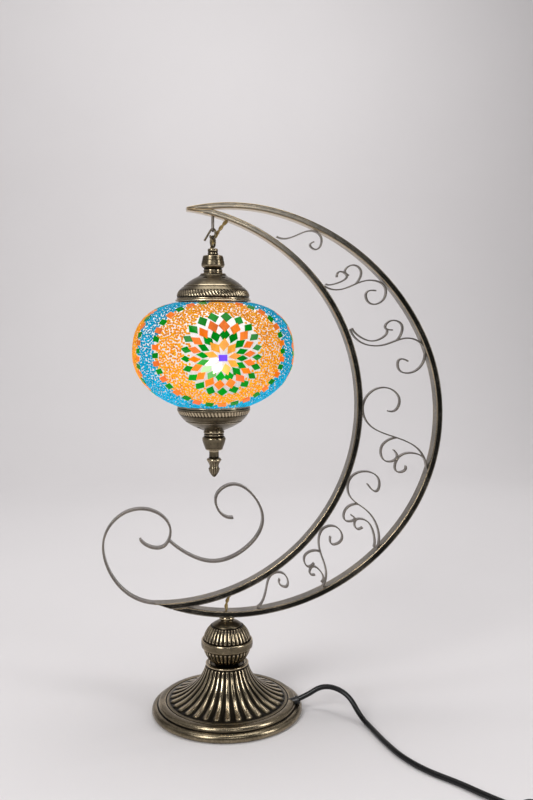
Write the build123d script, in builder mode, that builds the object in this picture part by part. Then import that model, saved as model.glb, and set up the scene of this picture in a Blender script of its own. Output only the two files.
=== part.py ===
from build123d import *
import math
import os

# Mosaic glass lantern hung in a wrought crescent on a fluted pedestal.
# Millimetres. The origin is the middle of the base on the table, +Z is up,
# the crescent stands in the XZ plane and opens towards -X, and -Y is the front.

os.makedirs("parts", exist_ok=True)

# ---------------------------------------------------------------- driving sizes
BASE_R = 81.7
PLATE_R = 23.0
PLATE_Z = 54.5
SHELL = 1.2
FELT = 2.0
WEIGHT_R = 60.0
WEIGHT_TOP = 9.0

BALL_Z = 76.0
BALL_R = 26.3
BALL_SEAT_Z = 52.0
BALL_TOP_Z = 99.5
BALL_RING_R = 28.0
BALL_RING_H = 9.0
NECK_R = 8.3
ROD_R = 5.0
ROD_BORE_R = 3.2

BAR_DEPTH = 15.0
BAR_THICK = 6.3
BAR_WALL = 1.2
BAR_SIDE = (237.0, 320.0)  # x, z of the outer bar's outermost point
UPPER_BENDS = [(203.0, 27.0), (248.0, 48.5), (197.0, 38.0)]  # radius, sweep
LOWER_BENDS = [(202.0, 36.5), (233.0, 50.5), (211.0, 42.0)]
INNER_CENTRE = (-66.0, 331.3)
INNER_R = 207.2

SCROLL_THICK = 1.4
SCROLL_DEPTH = 6.0
TAIL_THICK = 2.2
TAIL_DEPTH = 9.0

LANTERN_X = -13.0
GLOBE_Z = 389.0
GLOBE_R = 85.0
GLOBE_H = 61.0
GLOBE_OPENING_R = 36.5
MOSAIC = 2.0
GLASS = 2.2

EYE_Z = 516.5
EYE_TURN = 75.0  # each link's turn about the vertical, from facing the front
HOOK_TURN = -20.0
LOOP_TURN = 60.0
EYE_ROD_R = 1.0
HOOK_ROD_R = 1.1
HOOK_BEND_R = 2.7
LINK_R = 3.2

WIRE_R = 1.15
CORD_R = 2.8
CORD_LEVEL = 2.9
CORD_HEADING = math.radians(-12.4)  # where the cord leaves the base
SWITCH_HEADING = -56.0
COIL_CENTRE = (240.0, -345.0)
COIL_MEAN_R = 32.5
COIL_PITCH = 5.7
COIL_HEIGHT = 11.5


def save(part, name):
    """Labels a finished piece and writes its STEP file."""
    part.label = name
    export_step(part, f"parts/{name}.step")


def largest(part):
    """The biggest solid of a part, without the crumbs that a cut leaves."""
    return Part(children=[]) + sorted(part.solids(), key=lambda s: s.volume)[-1]


def spun(points, axis_x=0.0):
    """A solid turned about the vertical line at axis_x from (radius, z) points."""
    with BuildPart() as turned:
        with BuildSketch(Plane.XZ):
            with BuildLine():
                Polyline([(axis_x + r, z) for r, z in points], close=True)
            make_face()
        revolve(axis=Axis((axis_x, 0, 0), (0, 0, 1)))
    return turned.part


def tube(points, radii, radius):
    """A round tube along straight runs joined by tangent arcs."""
    with BuildPart() as made:
        with BuildLine() as path:
            FilletPolyline(*points, radius=radii)
        with BuildSketch(Plane(origin=path.line @ 0, z_dir=path.line % 0)):
            Circle(radius)
        sweep()
    return made.part


def bend_radii(points):
    """The largest radius that each corner of a route takes, with room to spare."""
    radii = []
    for a, b, c in zip(points, points[1:], points[2:]):
        u = Vector(*b) - Vector(*a)
        v = Vector(*c) - Vector(*b)
        turn = math.radians(u.get_angle(v))
        radii.append(0.45 * min(u.length, v.length) / math.tan(turn / 2))
    return radii


# ---------------------------------------------------------------- pedestal base
with BuildPart() as base_shell:
    with BuildSketch(Plane.XZ):
        with BuildLine():
            ThreePointArc((79.8, 0.6), (BASE_R, 4.5), (76.0, 9.0))
            Line((76.0, 9.0), (75.2, 9.2))
            ThreePointArc((75.2, 9.2), (73.8, 12.7), (70.0, 14.0))
            Polyline((70.0, 14.0), (66.3, 14.0), (65.8, 13.4), (62.5, 14.3))
            Spline((62.5, 14.3), (47.7, 19.7), (35.9, 28.5), (28.3, 38.0), (22.3, 52.6))
            Polyline((22.3, 52.6), (PLATE_R, 53.0), (PLATE_R, PLATE_Z), (18.5, PLATE_Z))
            Polyline((18.5, PLATE_Z), (17.5, BALL_SEAT_Z), (ROD_R + 0.2, BALL_SEAT_Z))
            Line((ROD_R + 0.2, BALL_SEAT_Z), (ROD_R + 0.2, BALL_SEAT_Z - SHELL))
            Polyline((ROD_R + 0.2, BALL_SEAT_Z - SHELL), (20.9, BALL_SEAT_Z - SHELL))
            Spline((20.9, BALL_SEAT_Z - SHELL), (27.2, 37.2), (35.1, 27.4), (47.1, 18.4), (62.2, 13.0))
            Polyline((62.2, 13.0), (65.8, 12.1), (69.8, 12.7))
            ThreePointArc((69.8, 12.7), (72.8, 11.7), (74.0, 8.6))
            ThreePointArc((74.0, 8.6), (80.3, 4.4), (78.4, 0.6))
            Line((78.4, 0.6), (79.8, 0.6))
        make_face()
    revolve(axis=Axis.Z)
    cord_way = Plane(
        origin=(72.6 * math.cos(CORD_HEADING), 72.6 * math.sin(CORD_HEADING), 11.5),
        z_dir=(math.cos(CORD_HEADING), math.sin(CORD_HEADING), 0.35),
    )
    with BuildSketch(cord_way.offset(-8)):
        Circle(CORD_R + 1.4)
    extrude(amount=16, mode=Mode.SUBTRACT)
save(base_shell.part, "base_shell")

with BuildPart() as felt_pad:
    with BuildSketch(Plane.XY):
        Circle(77.5)
    extrude(amount=FELT)
save(felt_pad.part, "felt_pad")

cord_plane = Plane(origin=(0, 0, FELT), x_dir=(math.cos(CORD_HEADING), math.sin(CORD_HEADING), 0),
                   z_dir=(0, 0, 1))
with BuildPart() as base_weight:
    with BuildSketch(Plane.XY.offset(FELT)):
        Circle(WEIGHT_R)
    extrude(amount=WEIGHT_TOP - FELT)
    fillet(base_weight.faces().sort_by(Axis.Z)[-1].edges(), 1.5)
    with BuildSketch(cord_plane):
        with Locations((42.0, 0)):
            Rectangle(40.0, 8.0)
        with Locations((28.0, 0)):
            Rectangle(26.0, 20.0)
    extrude(amount=WEIGHT_TOP, mode=Mode.SUBTRACT)
save(base_weight.part, "base_weight")

with BuildPart() as terminal_block:
    with BuildSketch(cord_plane):
        with Locations((28.0, 0)):
            Rectangle(20.0, 17.0)
    extrude(amount=10.0)
    fillet(terminal_block.edges().filter_by(Axis.Z), 1.0)
save(terminal_block.part, "terminal_block")

# The bush lines the cord hole; it is a collared tube along the cord's own line.
with BuildPart() as cord_bush:
    with BuildSketch(cord_way.offset(-4.5)):
        Circle(CORD_R + 1.4)
        Circle(CORD_R, mode=Mode.SUBTRACT)
    extrude(amount=11.0)
    with BuildSketch(cord_way.offset(3.6)):
        Circle(CORD_R + 2.2)
        Circle(CORD_R, mode=Mode.SUBTRACT)
    extrude(amount=1.6)
    add(base_shell.part, mode=Mode.SUBTRACT)
save(largest(cord_bush.part), "cord_bush")

# ---------------------------------------------------------------- rod and its fixings
with BuildPart() as hollow_rod:
    with BuildSketch(Plane.XY.offset(38.0)):
        Circle(ROD_R)
        Circle(ROD_BORE_R, mode=Mode.SUBTRACT)
    extrude(amount=72.6)
save(hollow_rod.part, "hollow_rod")

with BuildPart() as base_washer:
    with BuildSketch(Plane.XY.offset(BALL_SEAT_Z - SHELL - 1.5)):
        Circle(14.0)
        Circle(ROD_R + 0.2, mode=Mode.SUBTRACT)
    extrude(amount=1.5)
save(base_washer.part, "base_washer")

with BuildPart() as rod_nut:
    with BuildSketch(Plane.XY.offset(BALL_SEAT_Z - SHELL - 6.5)):
        RegularPolygon(8.5, 6)
        Circle(ROD_R + 0.02, mode=Mode.SUBTRACT)
    extrude(amount=5.0)
save(rod_nut.part, "rod_nut")

# ---------------------------------------------------------------- ball and neck
def ball_shell(low, high):
    """The part of the hollow ball between two heights, with a hole for the rod."""
    with BuildPart() as shell:
        with Locations((0, 0, BALL_Z)):
            Sphere(BALL_R)
            Sphere(BALL_R - SHELL, mode=Mode.SUBTRACT)
        with BuildSketch(Plane.XY.offset(high)):
            Circle(2 * BALL_R)
        extrude(amount=2 * BALL_R, mode=Mode.SUBTRACT)
        with BuildSketch(Plane.XY.offset(low)):
            Circle(2 * BALL_R)
        extrude(amount=-2 * BALL_R, mode=Mode.SUBTRACT)
    return shell.part


def ball_end(z, thick):
    """A flat disc that closes an end of the ball round the rod."""
    end_r = math.sqrt((BALL_R - SHELL) ** 2 - (z + thick / 2 - BALL_Z) ** 2)
    with BuildPart() as disc:
        with BuildSketch(Plane.XY.offset(z)):
            Circle(end_r + 0.4)
            Circle(ROD_R + 0.2, mode=Mode.SUBTRACT)
        extrude(amount=thick)
    return disc.part


with BuildPart() as ball_lower:
    add(ball_shell(BALL_SEAT_Z, BALL_Z))
    add(ball_end(BALL_SEAT_Z, 1.2))
save(ball_lower.part, "ball_lower")

with BuildPart() as ball_upper:
    add(ball_shell(BALL_Z, BALL_TOP_Z))
    add(ball_end(BALL_TOP_Z - 1.2, 1.2))
save(ball_upper.part, "ball_upper")

with BuildPart() as ball_ring:
    with BuildSketch(Plane.XZ):
        with Locations((BALL_RING_R - 1.4, BALL_Z)):
            RectangleRounded(2.8, BALL_RING_H, 1.3)
    revolve(axis=Axis.Z)
    with Locations((0, 0, BALL_Z)):
        Sphere(BALL_R, mode=Mode.SUBTRACT)
save(ball_ring.part, "ball_ring")

BAR_UNDER_Z = 107.0
with BuildPart() as neck_collar:
    with BuildSketch(Plane.XZ):
        with BuildLine():
            Polyline((ROD_R + 0.2, BALL_TOP_Z), (11.2, BALL_TOP_Z), (11.2, 100.6))
            ThreePointArc((11.2, 100.6), (10.9, 102.6), (9.2, 103.2))
            ThreePointArc((9.2, 103.2), (9.9, 104.6), (NECK_R, 105.9))
            Polyline((NECK_R, 105.9), (NECK_R, BAR_UNDER_Z), (ROD_R + 0.2, BAR_UNDER_Z))
            Line((ROD_R + 0.2, BAR_UNDER_Z), (ROD_R + 0.2, BALL_TOP_Z))
        make_face()
    revolve(axis=Axis.Z)

# ---------------------------------------------------------------- crescent bars
def bend_line(inset, bends, up):
    """One half of the outer bar's edge, as tangent arcs that start at its side.

    Returns the arcs' points as (start, middle, end) with the bar's line moved
    inwards by inset.
    """
    x = BAR_SIDE[0]
    z = 0.0
    heading = math.pi / 2
    arcs = []
    for radius, sweep_angle in bends:
        cx = x - radius * math.sin(heading)
        cz = z + radius * math.cos(heading)
        span = math.radians(sweep_angle)
        ends = [heading, heading + span / 2, heading + span]
        arcs.append([
            (cx + (radius - inset) * math.sin(a),
             BAR_SIDE[1] + up * (cz - (radius - inset) * math.cos(a)))
            for a in ends
        ])
        heading += span
        x = cx + radius * math.sin(heading)
        z = cz - radius * math.cos(heading)
    return arcs


def outer_disc(inset, depth):
    """The whole area inside the outer bar's edge, less inset, as a slab."""
    with BuildPart() as slab:
        with BuildSketch(Plane.XZ.offset(-depth / 2)):
            with BuildLine():
                upper = bend_line(inset, UPPER_BENDS, 1)
                lower = bend_line(inset, LOWER_BENDS, -1)
                for arc in upper + lower:
                    ThreePointArc(*arc)
                Line(upper[-1][-1], lower[-1][-1])
            make_face()
        extrude(amount=depth)
    return slab.part


def inner_disc(radius, depth):
    """A round slab about the inner bar's centre."""
    with BuildPart() as slab:
        with BuildSketch(Plane.XZ.offset(-depth / 2)):
            with Locations(INNER_CENTRE):
                Circle(radius)
        extrude(amount=depth)
    return slab.part


INNER_OUT = INNER_R + BAR_THICK

with BuildPart() as outer_bar:
    add(outer_disc(0.0, BAR_DEPTH))
    add(outer_disc(BAR_THICK, BAR_DEPTH + 1), mode=Mode.SUBTRACT)
    add(inner_disc(INNER_OUT, BAR_DEPTH + 1), mode=Mode.SUBTRACT)

with BuildPart() as outer_bore:
    add(outer_disc(BAR_WALL, BAR_DEPTH - 2 * BAR_WALL))
    add(outer_disc(BAR_THICK - BAR_WALL, BAR_DEPTH), mode=Mode.SUBTRACT)
    add(inner_disc(INNER_OUT + 4.0, BAR_DEPTH), mode=Mode.SUBTRACT)

with BuildPart() as inner_bar:
    add(inner_disc(INNER_OUT, BAR_DEPTH))
    add(inner_disc(INNER_R, BAR_DEPTH + 1), mode=Mode.SUBTRACT)
    add(outer_disc(0.0, BAR_DEPTH + 1), mode=Mode.INTERSECT)

with BuildPart() as inner_bore:
    add(inner_disc(INNER_OUT - BAR_WALL, BAR_DEPTH - 2 * BAR_WALL))
    add(inner_disc(INNER_R + BAR_WALL, BAR_DEPTH), mode=Mode.SUBTRACT)
    with BuildSketch(Plane.XZ.offset(-BAR_DEPTH)):
        with Locations((100.0 - 10.0, 330.0)):
            Rectangle(200.0, 600.0)
    extrude(amount=2 * BAR_DEPTH, mode=Mode.INTERSECT)

bars_solid = outer_bar.part + inner_bar.part


def inner_point(degrees, radius):
    """A point (x, z) on a circle about the inner bar's centre."""
    a = math.radians(degrees)
    return (INNER_CENTRE[0] + radius * math.cos(a), INNER_CENTRE[1] + radius * math.sin(a))


LOW_WIRE_ANGLE = -71.6
TOP_WIRE_ANGLE = 70.6
BAR_MID_R = INNER_R + BAR_THICK / 2
low_x, low_z = inner_point(LOW_WIRE_ANGLE, BAR_MID_R)
top_x, top_z = inner_point(TOP_WIRE_ANGLE, BAR_MID_R)

with BuildPart() as outer_tube:
    add(outer_bar.part)
    add(outer_bore.part, mode=Mode.SUBTRACT)
    with BuildSketch(Plane.XY.offset(BAR_UNDER_Z - 3)):
        Circle(ROD_R + 0.05)
    extrude(amount=6.0, mode=Mode.SUBTRACT)
    with BuildSketch(Plane.XY.offset(BAR_UNDER_Z + 3)):
        Circle(3.6)
    extrude(amount=6.0, mode=Mode.SUBTRACT)
save(outer_tube.part, "outer_bar")

with BuildPart() as inner_tube:
    add(inner_bar.part)
    add(inner_bore.part, mode=Mode.SUBTRACT)
    with BuildSketch(Plane.XY.offset(low_z)):
        with Locations((low_x, 0)):
            Circle(2.6)
    extrude(amount=-8.0, mode=Mode.SUBTRACT)
    with BuildSketch(Plane.XY.offset(top_z)):
        with Locations((top_x, 0)):
            Circle(3.2)
    extrude(amount=-8.0, mode=Mode.SUBTRACT)
save(inner_tube.part, "inner_bar")

with BuildPart() as neck_fitted:
    add(neck_collar.part)
    add(bars_solid, mode=Mode.SUBTRACT)
save(neck_fitted.part, "neck_collar")

# ---------------------------------------------------------------- scrollwork
def strip(points, thick, depth, cutters):
    """A flat strip on edge, bent along a smooth line in the crescent's plane."""
    with BuildPart() as made:
        with BuildSketch(Plane.XZ.offset(-depth / 2)):
            with BuildLine():
                Spline(*points)
            trace(line_width=thick)
        extrude(amount=depth)
    body = made.part
    for cutter in cutters:
        body = body - cutter
    return largest(body)


LOWER_TAIL = [(-77, 124), (-106, 136), (-126, 164), (-129, 198), (-105, 224), (-76, 223),
              (-60, 203), (-68, 185), (-85, 187), (-92, 194)]
UPPER_TAIL = [(-62, 192), (-38, 174), (-16, 167), (18, 178), (39, 209), (29, 237),
              (6, 250), (-11, 238), (-7, 220), (7, 214)]

# Each group is one main scroll and the thinner ones that branch off it.
SCROLLS = {
    "scroll_top": [
        [(54, 512), (74, 513), (94, 518), (102, 511), (96, 499), (90, 503), (94, 507)],
    ],
    "scroll_upper": [
        [(105, 461), (130, 459), (154, 467), (172, 460), (170, 446), (155, 443),
         (151, 451), (162, 456)],
        [(129, 460), (143, 467), (145, 478), (136, 483), (128, 477), (132, 472)],
        [(107, 463), (120, 464), (130, 472), (123, 476), (119, 470)],
    ],
    "scroll_right": [
        [(134, 415), (150, 399), (172, 398), (200, 405), (216, 396), (217, 381),
         (204, 368), (189, 371), (188, 380), (199, 380)],
        [(176, 400), (190, 408), (191, 420), (177, 423), (173, 418), (181, 414)],
        [(136, 416), (148, 405), (164, 403), (175, 414), (169, 419), (165, 413)],
    ],
    "scroll_middle": [
        [(222, 261), (206, 288), (177, 300), (154, 314), (149, 331), (158, 347),
         (177, 351), (190, 338), (187, 328), (177, 326)],
        [(202, 290), (184, 296), (170, 285), (175, 271), (187, 273), (184, 283)],
        [(222, 264), (206, 279), (188, 272), (188, 259), (197, 260), (198, 265)],
    ],
    "scroll_lower": [
        [(165, 170), (168, 193), (154, 217), (134, 236), (136, 253), (152, 260),
         (168, 250), (167, 239), (155, 246)],
        [(155, 215), (141, 224), (130, 217), (131, 206), (141, 207), (137, 212)],
        [(163, 175), (162, 193), (150, 207), (142, 206), (142, 198), (150, 198)],
    ],
    "scroll_bottom": [
        [(106, 134), (108, 157), (101, 182), (106, 198), (121, 199), (126, 184),
         (117, 180), (114, 189)],
        [(106, 166), (97, 174), (85, 167), (88, 157), (96, 160)],
        [(104, 138), (102, 152), (94, 156), (91, 150), (97, 147)],
    ],
    "scroll_foot": [
        [(33, 114), (43, 134), (50, 150), (64, 148), (65, 135), (58, 138), (58, 144)],
    ],
}

tail_lower = strip(LOWER_TAIL, TAIL_THICK, TAIL_DEPTH, [bars_solid])
save(tail_lower, "tail_lower")
tail_upper = strip(UPPER_TAIL, TAIL_THICK, TAIL_DEPTH, [bars_solid, tail_lower])
save(tail_upper, "tail_upper")

for group, lines in SCROLLS.items():
    done = []
    for number, line in enumerate(lines, start=1):
        piece = strip(line, SCROLL_THICK, SCROLL_DEPTH, [bars_solid] + done)
        save(piece, f"{group}_{number}")
        done.append(piece)

# ---------------------------------------------------------------- hanging links
def link(plane, half_length, half_width, rod_r):
    """A closed oval link of round rod, lying in the given plane."""
    with BuildPart() as made:
        with BuildLine(plane) as path:
            with Locations((0, 0)):
                Line((half_width, -half_length), (half_width, half_length))
                ThreePointArc((half_width, half_length), (0, half_length + half_width),
                              (-half_width, half_length))
                Line((-half_width, half_length), (-half_width, -half_length))
                ThreePointArc((-half_width, -half_length), (0, -half_length - half_width),
                              (half_width, -half_length))
        with BuildSketch(Plane(origin=path.line @ 0, z_dir=path.line % 0)):
            Circle(rod_r)
        sweep()
    return made.part


def upright(x, z, turn):
    """A vertical plane through (x, 0, z), turned about Z from facing the front."""
    a = math.radians(turn)
    return Plane(origin=(x, 0, z), x_dir=(math.cos(a), math.sin(a), 0),
                 z_dir=(math.sin(a), -math.cos(a), 0))


with BuildPart() as tip_eye:
    add(link(upright(LANTERN_X, EYE_Z + LINK_R + 8.5, EYE_TURN), 8.5, LINK_R, EYE_ROD_R))
    add(bars_solid, mode=Mode.SUBTRACT)
save(largest(tip_eye.part), "tip_eye")

# The open hook goes over the eye's foot, down and under the top of the lantern's
# loop. Its long tail points down to the left. Sizes are from the eye's foot.
TAIL_LEAN = math.radians(57.5)
TAIL_REACH = 12.7
HOOK_DROP = 4.7
HOOK_SAG = 0.3
tail_meet = (-HOOK_BEND_R * math.sin(TAIL_LEAN), HOOK_BEND_R * math.cos(TAIL_LEAN) - HOOK_SAG)
tail_end = (tail_meet[0] - TAIL_REACH * math.cos(TAIL_LEAN),
            tail_meet[1] - TAIL_REACH * math.sin(TAIL_LEAN))
hook_low = -HOOK_SAG - HOOK_DROP
with BuildPart() as open_hook:
    with BuildLine(upright(LANTERN_X, EYE_Z, HOOK_TURN)) as hook_path:
        Line(tail_end, tail_meet)
        ThreePointArc(tail_meet, (0, HOOK_BEND_R - HOOK_SAG), (HOOK_BEND_R, -HOOK_SAG))
        Line((HOOK_BEND_R, -HOOK_SAG), (HOOK_BEND_R, hook_low))
        ThreePointArc((HOOK_BEND_R, hook_low), (0, hook_low - HOOK_BEND_R), (-HOOK_BEND_R, hook_low))
        Line((-HOOK_BEND_R, hook_low), (-HOOK_BEND_R, hook_low + 1.0))
    with BuildSketch(Plane(origin=hook_path.line @ 0, z_dir=hook_path.line % 0)):
        Circle(HOOK_ROD_R)
    sweep()
save(open_hook.part, "hang_hook")

LOOP_TOP_Z = EYE_Z + hook_low - 0.2
LOOP_FOOT_Z = 500.0
LOOP_R = 5.0
loop_half = (LOOP_TOP_Z - LOOP_FOOT_Z) / 2 - LOOP_R
with BuildPart() as lantern_loop:
    add(link(upright(LANTERN_X, (LOOP_TOP_Z + LOOP_FOOT_Z) / 2, LOOP_TURN), loop_half, LOOP_R, 1.1))
    with BuildSketch(Plane.XY.offset(488.0)):
        with Locations((LANTERN_X, 0)):
            Circle(1.5)
    extrude(amount=LOOP_FOOT_Z - 488.0)
save(lantern_loop.part, "lantern_loop")
print("loop pivot", LOOP_TOP_Z)

# ---------------------------------------------------------------- lantern cap
canopy = spun([(4.25, 498.6), (4.8, 498.6), (5.3, 497.6), (5.3, 496.4), (4.7, 495.6), (5.4, 494.6),
               (5.3, 492.8), (4.9, 492.0), (9.0, 491.7), (10.4, 490.8), (11.9, 485.0), (12.2, 481.8),
               (11.6, 479.0), (10.4, 477.9), (9.6, 476.8), (9.9, 475.6), (9.3, 474.6), (9.5, 473.2),
               (6.4, 473.2), (6.4, 488.0), (1.52, 488.0), (1.52, 489.6),
               (4.25, 489.6)], LANTERN_X)
save(canopy, "canopy_vase")

with BuildPart() as top_cap:
    add(spun([(5.2, 473.0), (13.0, 473.0), (14.0, 471.4), (15.6, 470.0), (22.6, 466.2), (30.4, 460.6),
              (30.6, 459.7), (31.6, 459.4), (35.4, 455.4), (37.6, 451.0), (38.0, 448.0), (37.6, 446.0),
              (36.4, 446.0), (36.6, 448.4), (36.2, 450.6), (34.2, 454.4), (30.6, 458.2), (29.4, 459.0),
              (22.0, 464.8), (14.8, 468.8), (12.6, 471.6), (5.2, 471.8)], LANTERN_X))
    with Locations((LANTERN_X, 0, 466.0)):
        with PolarLocations(18.6, 6, start_angle=-60):
            Box(4.2, 1.8, 12.0, mode=Mode.SUBTRACT)
save(top_cap.part, "top_cap")

GALLERY_OUT = 39.4
gallery = spun([(GLOBE_OPENING_R - 2.2, 446.0), (GALLERY_OUT, 446.0), (GALLERY_OUT, 444.1),
                (GLOBE_OPENING_R - 0.6, 444.1), (GLOBE_OPENING_R - 0.6, 438.0),
                (GLOBE_OPENING_R - 2.2, 438.0)], LANTERN_X)
save(gallery, "top_gallery")

# ---------------------------------------------------------------- globe
def globe_shell(outset_out, outset_in):
    """An oblate shell about the lantern's axis, open above and below."""
    half = GLOBE_H * math.sqrt(1 - (GLOBE_OPENING_R / GLOBE_R) ** 2)
    with BuildPart() as shell:
        with BuildSketch(Plane.XZ):
            with Locations((LANTERN_X, GLOBE_Z)):
                Ellipse(GLOBE_R - outset_out, GLOBE_H - outset_out)
                Ellipse(GLOBE_R - outset_in, GLOBE_H - outset_in, mode=Mode.SUBTRACT)
            with Locations((LANTERN_X - 100, GLOBE_Z)):
                Rectangle(200, 200, mode=Mode.SUBTRACT)
            with Locations((LANTERN_X, GLOBE_Z)):
                Rectangle(2 * GLOBE_OPENING_R, 400, mode=Mode.SUBTRACT)
            with Locations((LANTERN_X + 100, GLOBE_Z)):
                Rectangle(200, 2 * half, mode=Mode.INTERSECT)
        revolve(axis=Axis((LANTERN_X, 0, 0), (0, 0, 1)))
    return shell.part


save(globe_shell(MOSAIC, MOSAIC + GLASS), "globe_glass")
save(globe_shell(0.0, MOSAIC), "mosaic_skin")

# ---------------------------------------------------------------- lamp holder and bulb
socket = spun([(2.0, 471.6), (5.0, 471.6), (5.0, 462.0), (13.5, 459.0), (14.0, 452.0), (14.0, 424.0),
               (12.0, 424.0), (12.0, 450.0), (7.6, 450.0), (7.6, 458.0), (2.0, 460.0)], LANTERN_X)
save(socket, "lamp_socket")

socket_ring = spun([(14.05, 434.0), (18.5, 434.0), (18.5, 430.0), (14.05, 430.0)], LANTERN_X)
save(socket_ring, "socket_ring")

BULB_TOP = 448.0
bulb_cap = spun([(0.0, BULB_TOP), (2.4, BULB_TOP), (2.6, BULB_TOP - 2), (6.8, BULB_TOP - 3),
                 (6.9, BULB_TOP - 24), (0.0, BULB_TOP - 24)], LANTERN_X)
save(bulb_cap, "bulb_cap")

with BuildPart() as bulb_glass:
    with BuildSketch(Plane.XZ):
        with BuildLine():
            Line((LANTERN_X, 423.9), (LANTERN_X + 6.6, 423.9))
            Spline((LANTERN_X + 6.6, 423.9), (LANTERN_X + 14.0, 405.0), (LANTERN_X + 22.5, 380.0),
                   (LANTERN_X + 15.0, 362.0), (LANTERN_X, 356.5),
                   tangents=((0.1, -1), (-1, 0)))
            Line((LANTERN_X, 356.5), (LANTERN_X, 423.9))
        make_face()
    revolve(axis=Axis((LANTERN_X, 0, 0), (0, 0, 1)))
save(bulb_glass.part, "bulb_glass")

# A bent strap goes down both sides of the bulb and holds the lower cap.
HARP_R = 29.0
HARP_ROD_R = 1.5
HARP_LOW_Z = 322.0
with BuildPart() as harp:
    with BuildLine() as harp_path:
        FilletPolyline(
            (LANTERN_X - 18.2, 0, 432.0), (LANTERN_X - HARP_R, 0, 420.0),
            (LANTERN_X - HARP_R, 0, HARP_LOW_Z), (LANTERN_X + HARP_R, 0, HARP_LOW_Z),
            (LANTERN_X + HARP_R, 0, 420.0), (LANTERN_X + 18.2, 0, 432.0),
            radius=[6.0, 8.0, 8.0, 6.0],
        )
    with BuildSketch(Plane(origin=harp_path.line @ 0, z_dir=harp_path.line % 0)):
        Circle(HARP_ROD_R)
    sweep()
    add(socket_ring, mode=Mode.SUBTRACT)
save(harp.part, "harp")

# ---------------------------------------------------------------- lower cap and finial
with BuildPart() as bottom_cap:
    add(spun([(GLOBE_OPENING_R - 2.0, 340.0), (GLOBE_OPENING_R - 0.7, 340.0),
              (GLOBE_OPENING_R - 0.7, 333.8), (38.2, 333.6), (38.4, 331.0), (36.6, 327.0),
              (34.0, 323.2), (32.0, 320.4), (30.8, 319.8), (30.4, 318.6), (26.0, 316.0),
              (20.8, 313.0), (13.0, 309.0), (4.2, 309.0), (4.2, 310.4), (12.6, 310.4),
              (20.2, 314.4), (25.4, 317.4), (29.6, 320.0), (31.0, 321.4), (32.8, 324.0),
              (35.0, 327.6), (36.4, 331.2), (35.0, 332.4), (34.5, 334.0)], LANTERN_X))
    with Locations((LANTERN_X, 0, 314.0)):
        with PolarLocations(19.0, 6, start_angle=-74):
            Box(4.6, 4.2, 9.0, rotation=(0, 0, 45), mode=Mode.SUBTRACT)
save(bottom_cap.part, "bottom_cap")

bottom_vase = spun([(4.2, 309.0), (10.0, 309.0), (10.6, 306.4), (9.8, 304.4), (10.4, 302.6),
                    (12.2, 300.2), (12.5, 297.8), (11.6, 294.6), (9.4, 290.0), (9.2, 288.6),
                    (5.4, 287.0), (4.2, 287.0)], LANTERN_X)
save(bottom_vase, "bottom_vase")

with BuildPart() as finial:
    with BuildSketch(Plane.XZ):
        with BuildLine():
            Polyline((LANTERN_X, 287.0), (LANTERN_X + 5.2, 287.0), (LANTERN_X + 5.2, 279.4),
                     (LANTERN_X + 7.4, 277.6), (LANTERN_X + 7.8, 275.6), (LANTERN_X + 6.4, 273.8))
            Spline((LANTERN_X + 6.4, 273.8), (LANTERN_X + 4.9, 270.0), (LANTERN_X + 6.0, 266.2),
                   (LANTERN_X + 3.6, 261.0), (LANTERN_X, 258.2))
            Line((LANTERN_X, 258.2), (LANTERN_X, 287.0))
        make_face()
    revolve(axis=Axis((LANTERN_X, 0, 0), (0, 0, 1)))
save(finial.part, "finial")

with BuildPart() as stud:
    with BuildSketch(Plane.XY.offset(287.0)):
        with Locations((LANTERN_X, 0)):
            Circle(4.0)
    extrude(amount=HARP_LOW_Z - 287.0 + 3.0)
    add(harp.part, mode=Mode.SUBTRACT)
save(largest(stud.part), "finial_stud")

# ---------------------------------------------------------------- lamp wire
base_wire_route = [
    (34.0, -7.5, 12.5), (32.0, -7.0, 24.0), (14.0, -3.2, 26.5), (0.4, 0.0, 33.0),
    (-0.6, 0.0, 76.0), (0.0, 0.0, 108.0), (low_x, 0.0, low_z - 1.0),
]
wire_base = tube(base_wire_route, [6.0, 8.0, 7.0, 60.0, 30.0], WIRE_R)
save(wire_base, "wire_base")

with BuildPart() as wire_arch:
    with BuildLine() as arch_path:
        ThreePointArc(*[
            (inner_point(a, BAR_MID_R)[0], 0, inner_point(a, BAR_MID_R)[1])
            for a in (LOW_WIRE_ANGLE + 0.7, 0.0, TOP_WIRE_ANGLE - 0.7)
        ])
    with BuildSketch(Plane(origin=arch_path.line @ 0, z_dir=arch_path.line % 0)):
        Circle(WIRE_R)
    sweep()
save(wire_arch.part, "wire_arch")

drop_route = [
    (top_x, 0.0, top_z - 1.0), (0.5, 0.8, 525.5), (-5.5, 4.6, 519.0), (-11.1, 6.7, 511.5),
    (-14.9, 4.9, 504.5), (-15.0, 2.05, 499.0), (-15.0, 2.05, 491.0),
]
wire_drop = tube(drop_route, [min(r, 9.0) for r in bend_radii(drop_route)], WIRE_R)
save(wire_drop, "wire_drop")

# ---------------------------------------------------------------- mains cord
def along(start, heading, reach, z):
    """The point that is reach from start along a floor heading in degrees."""
    a = math.radians(heading)
    return (start[0] + reach * math.cos(a), start[1] + reach * math.sin(a), z)


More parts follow.
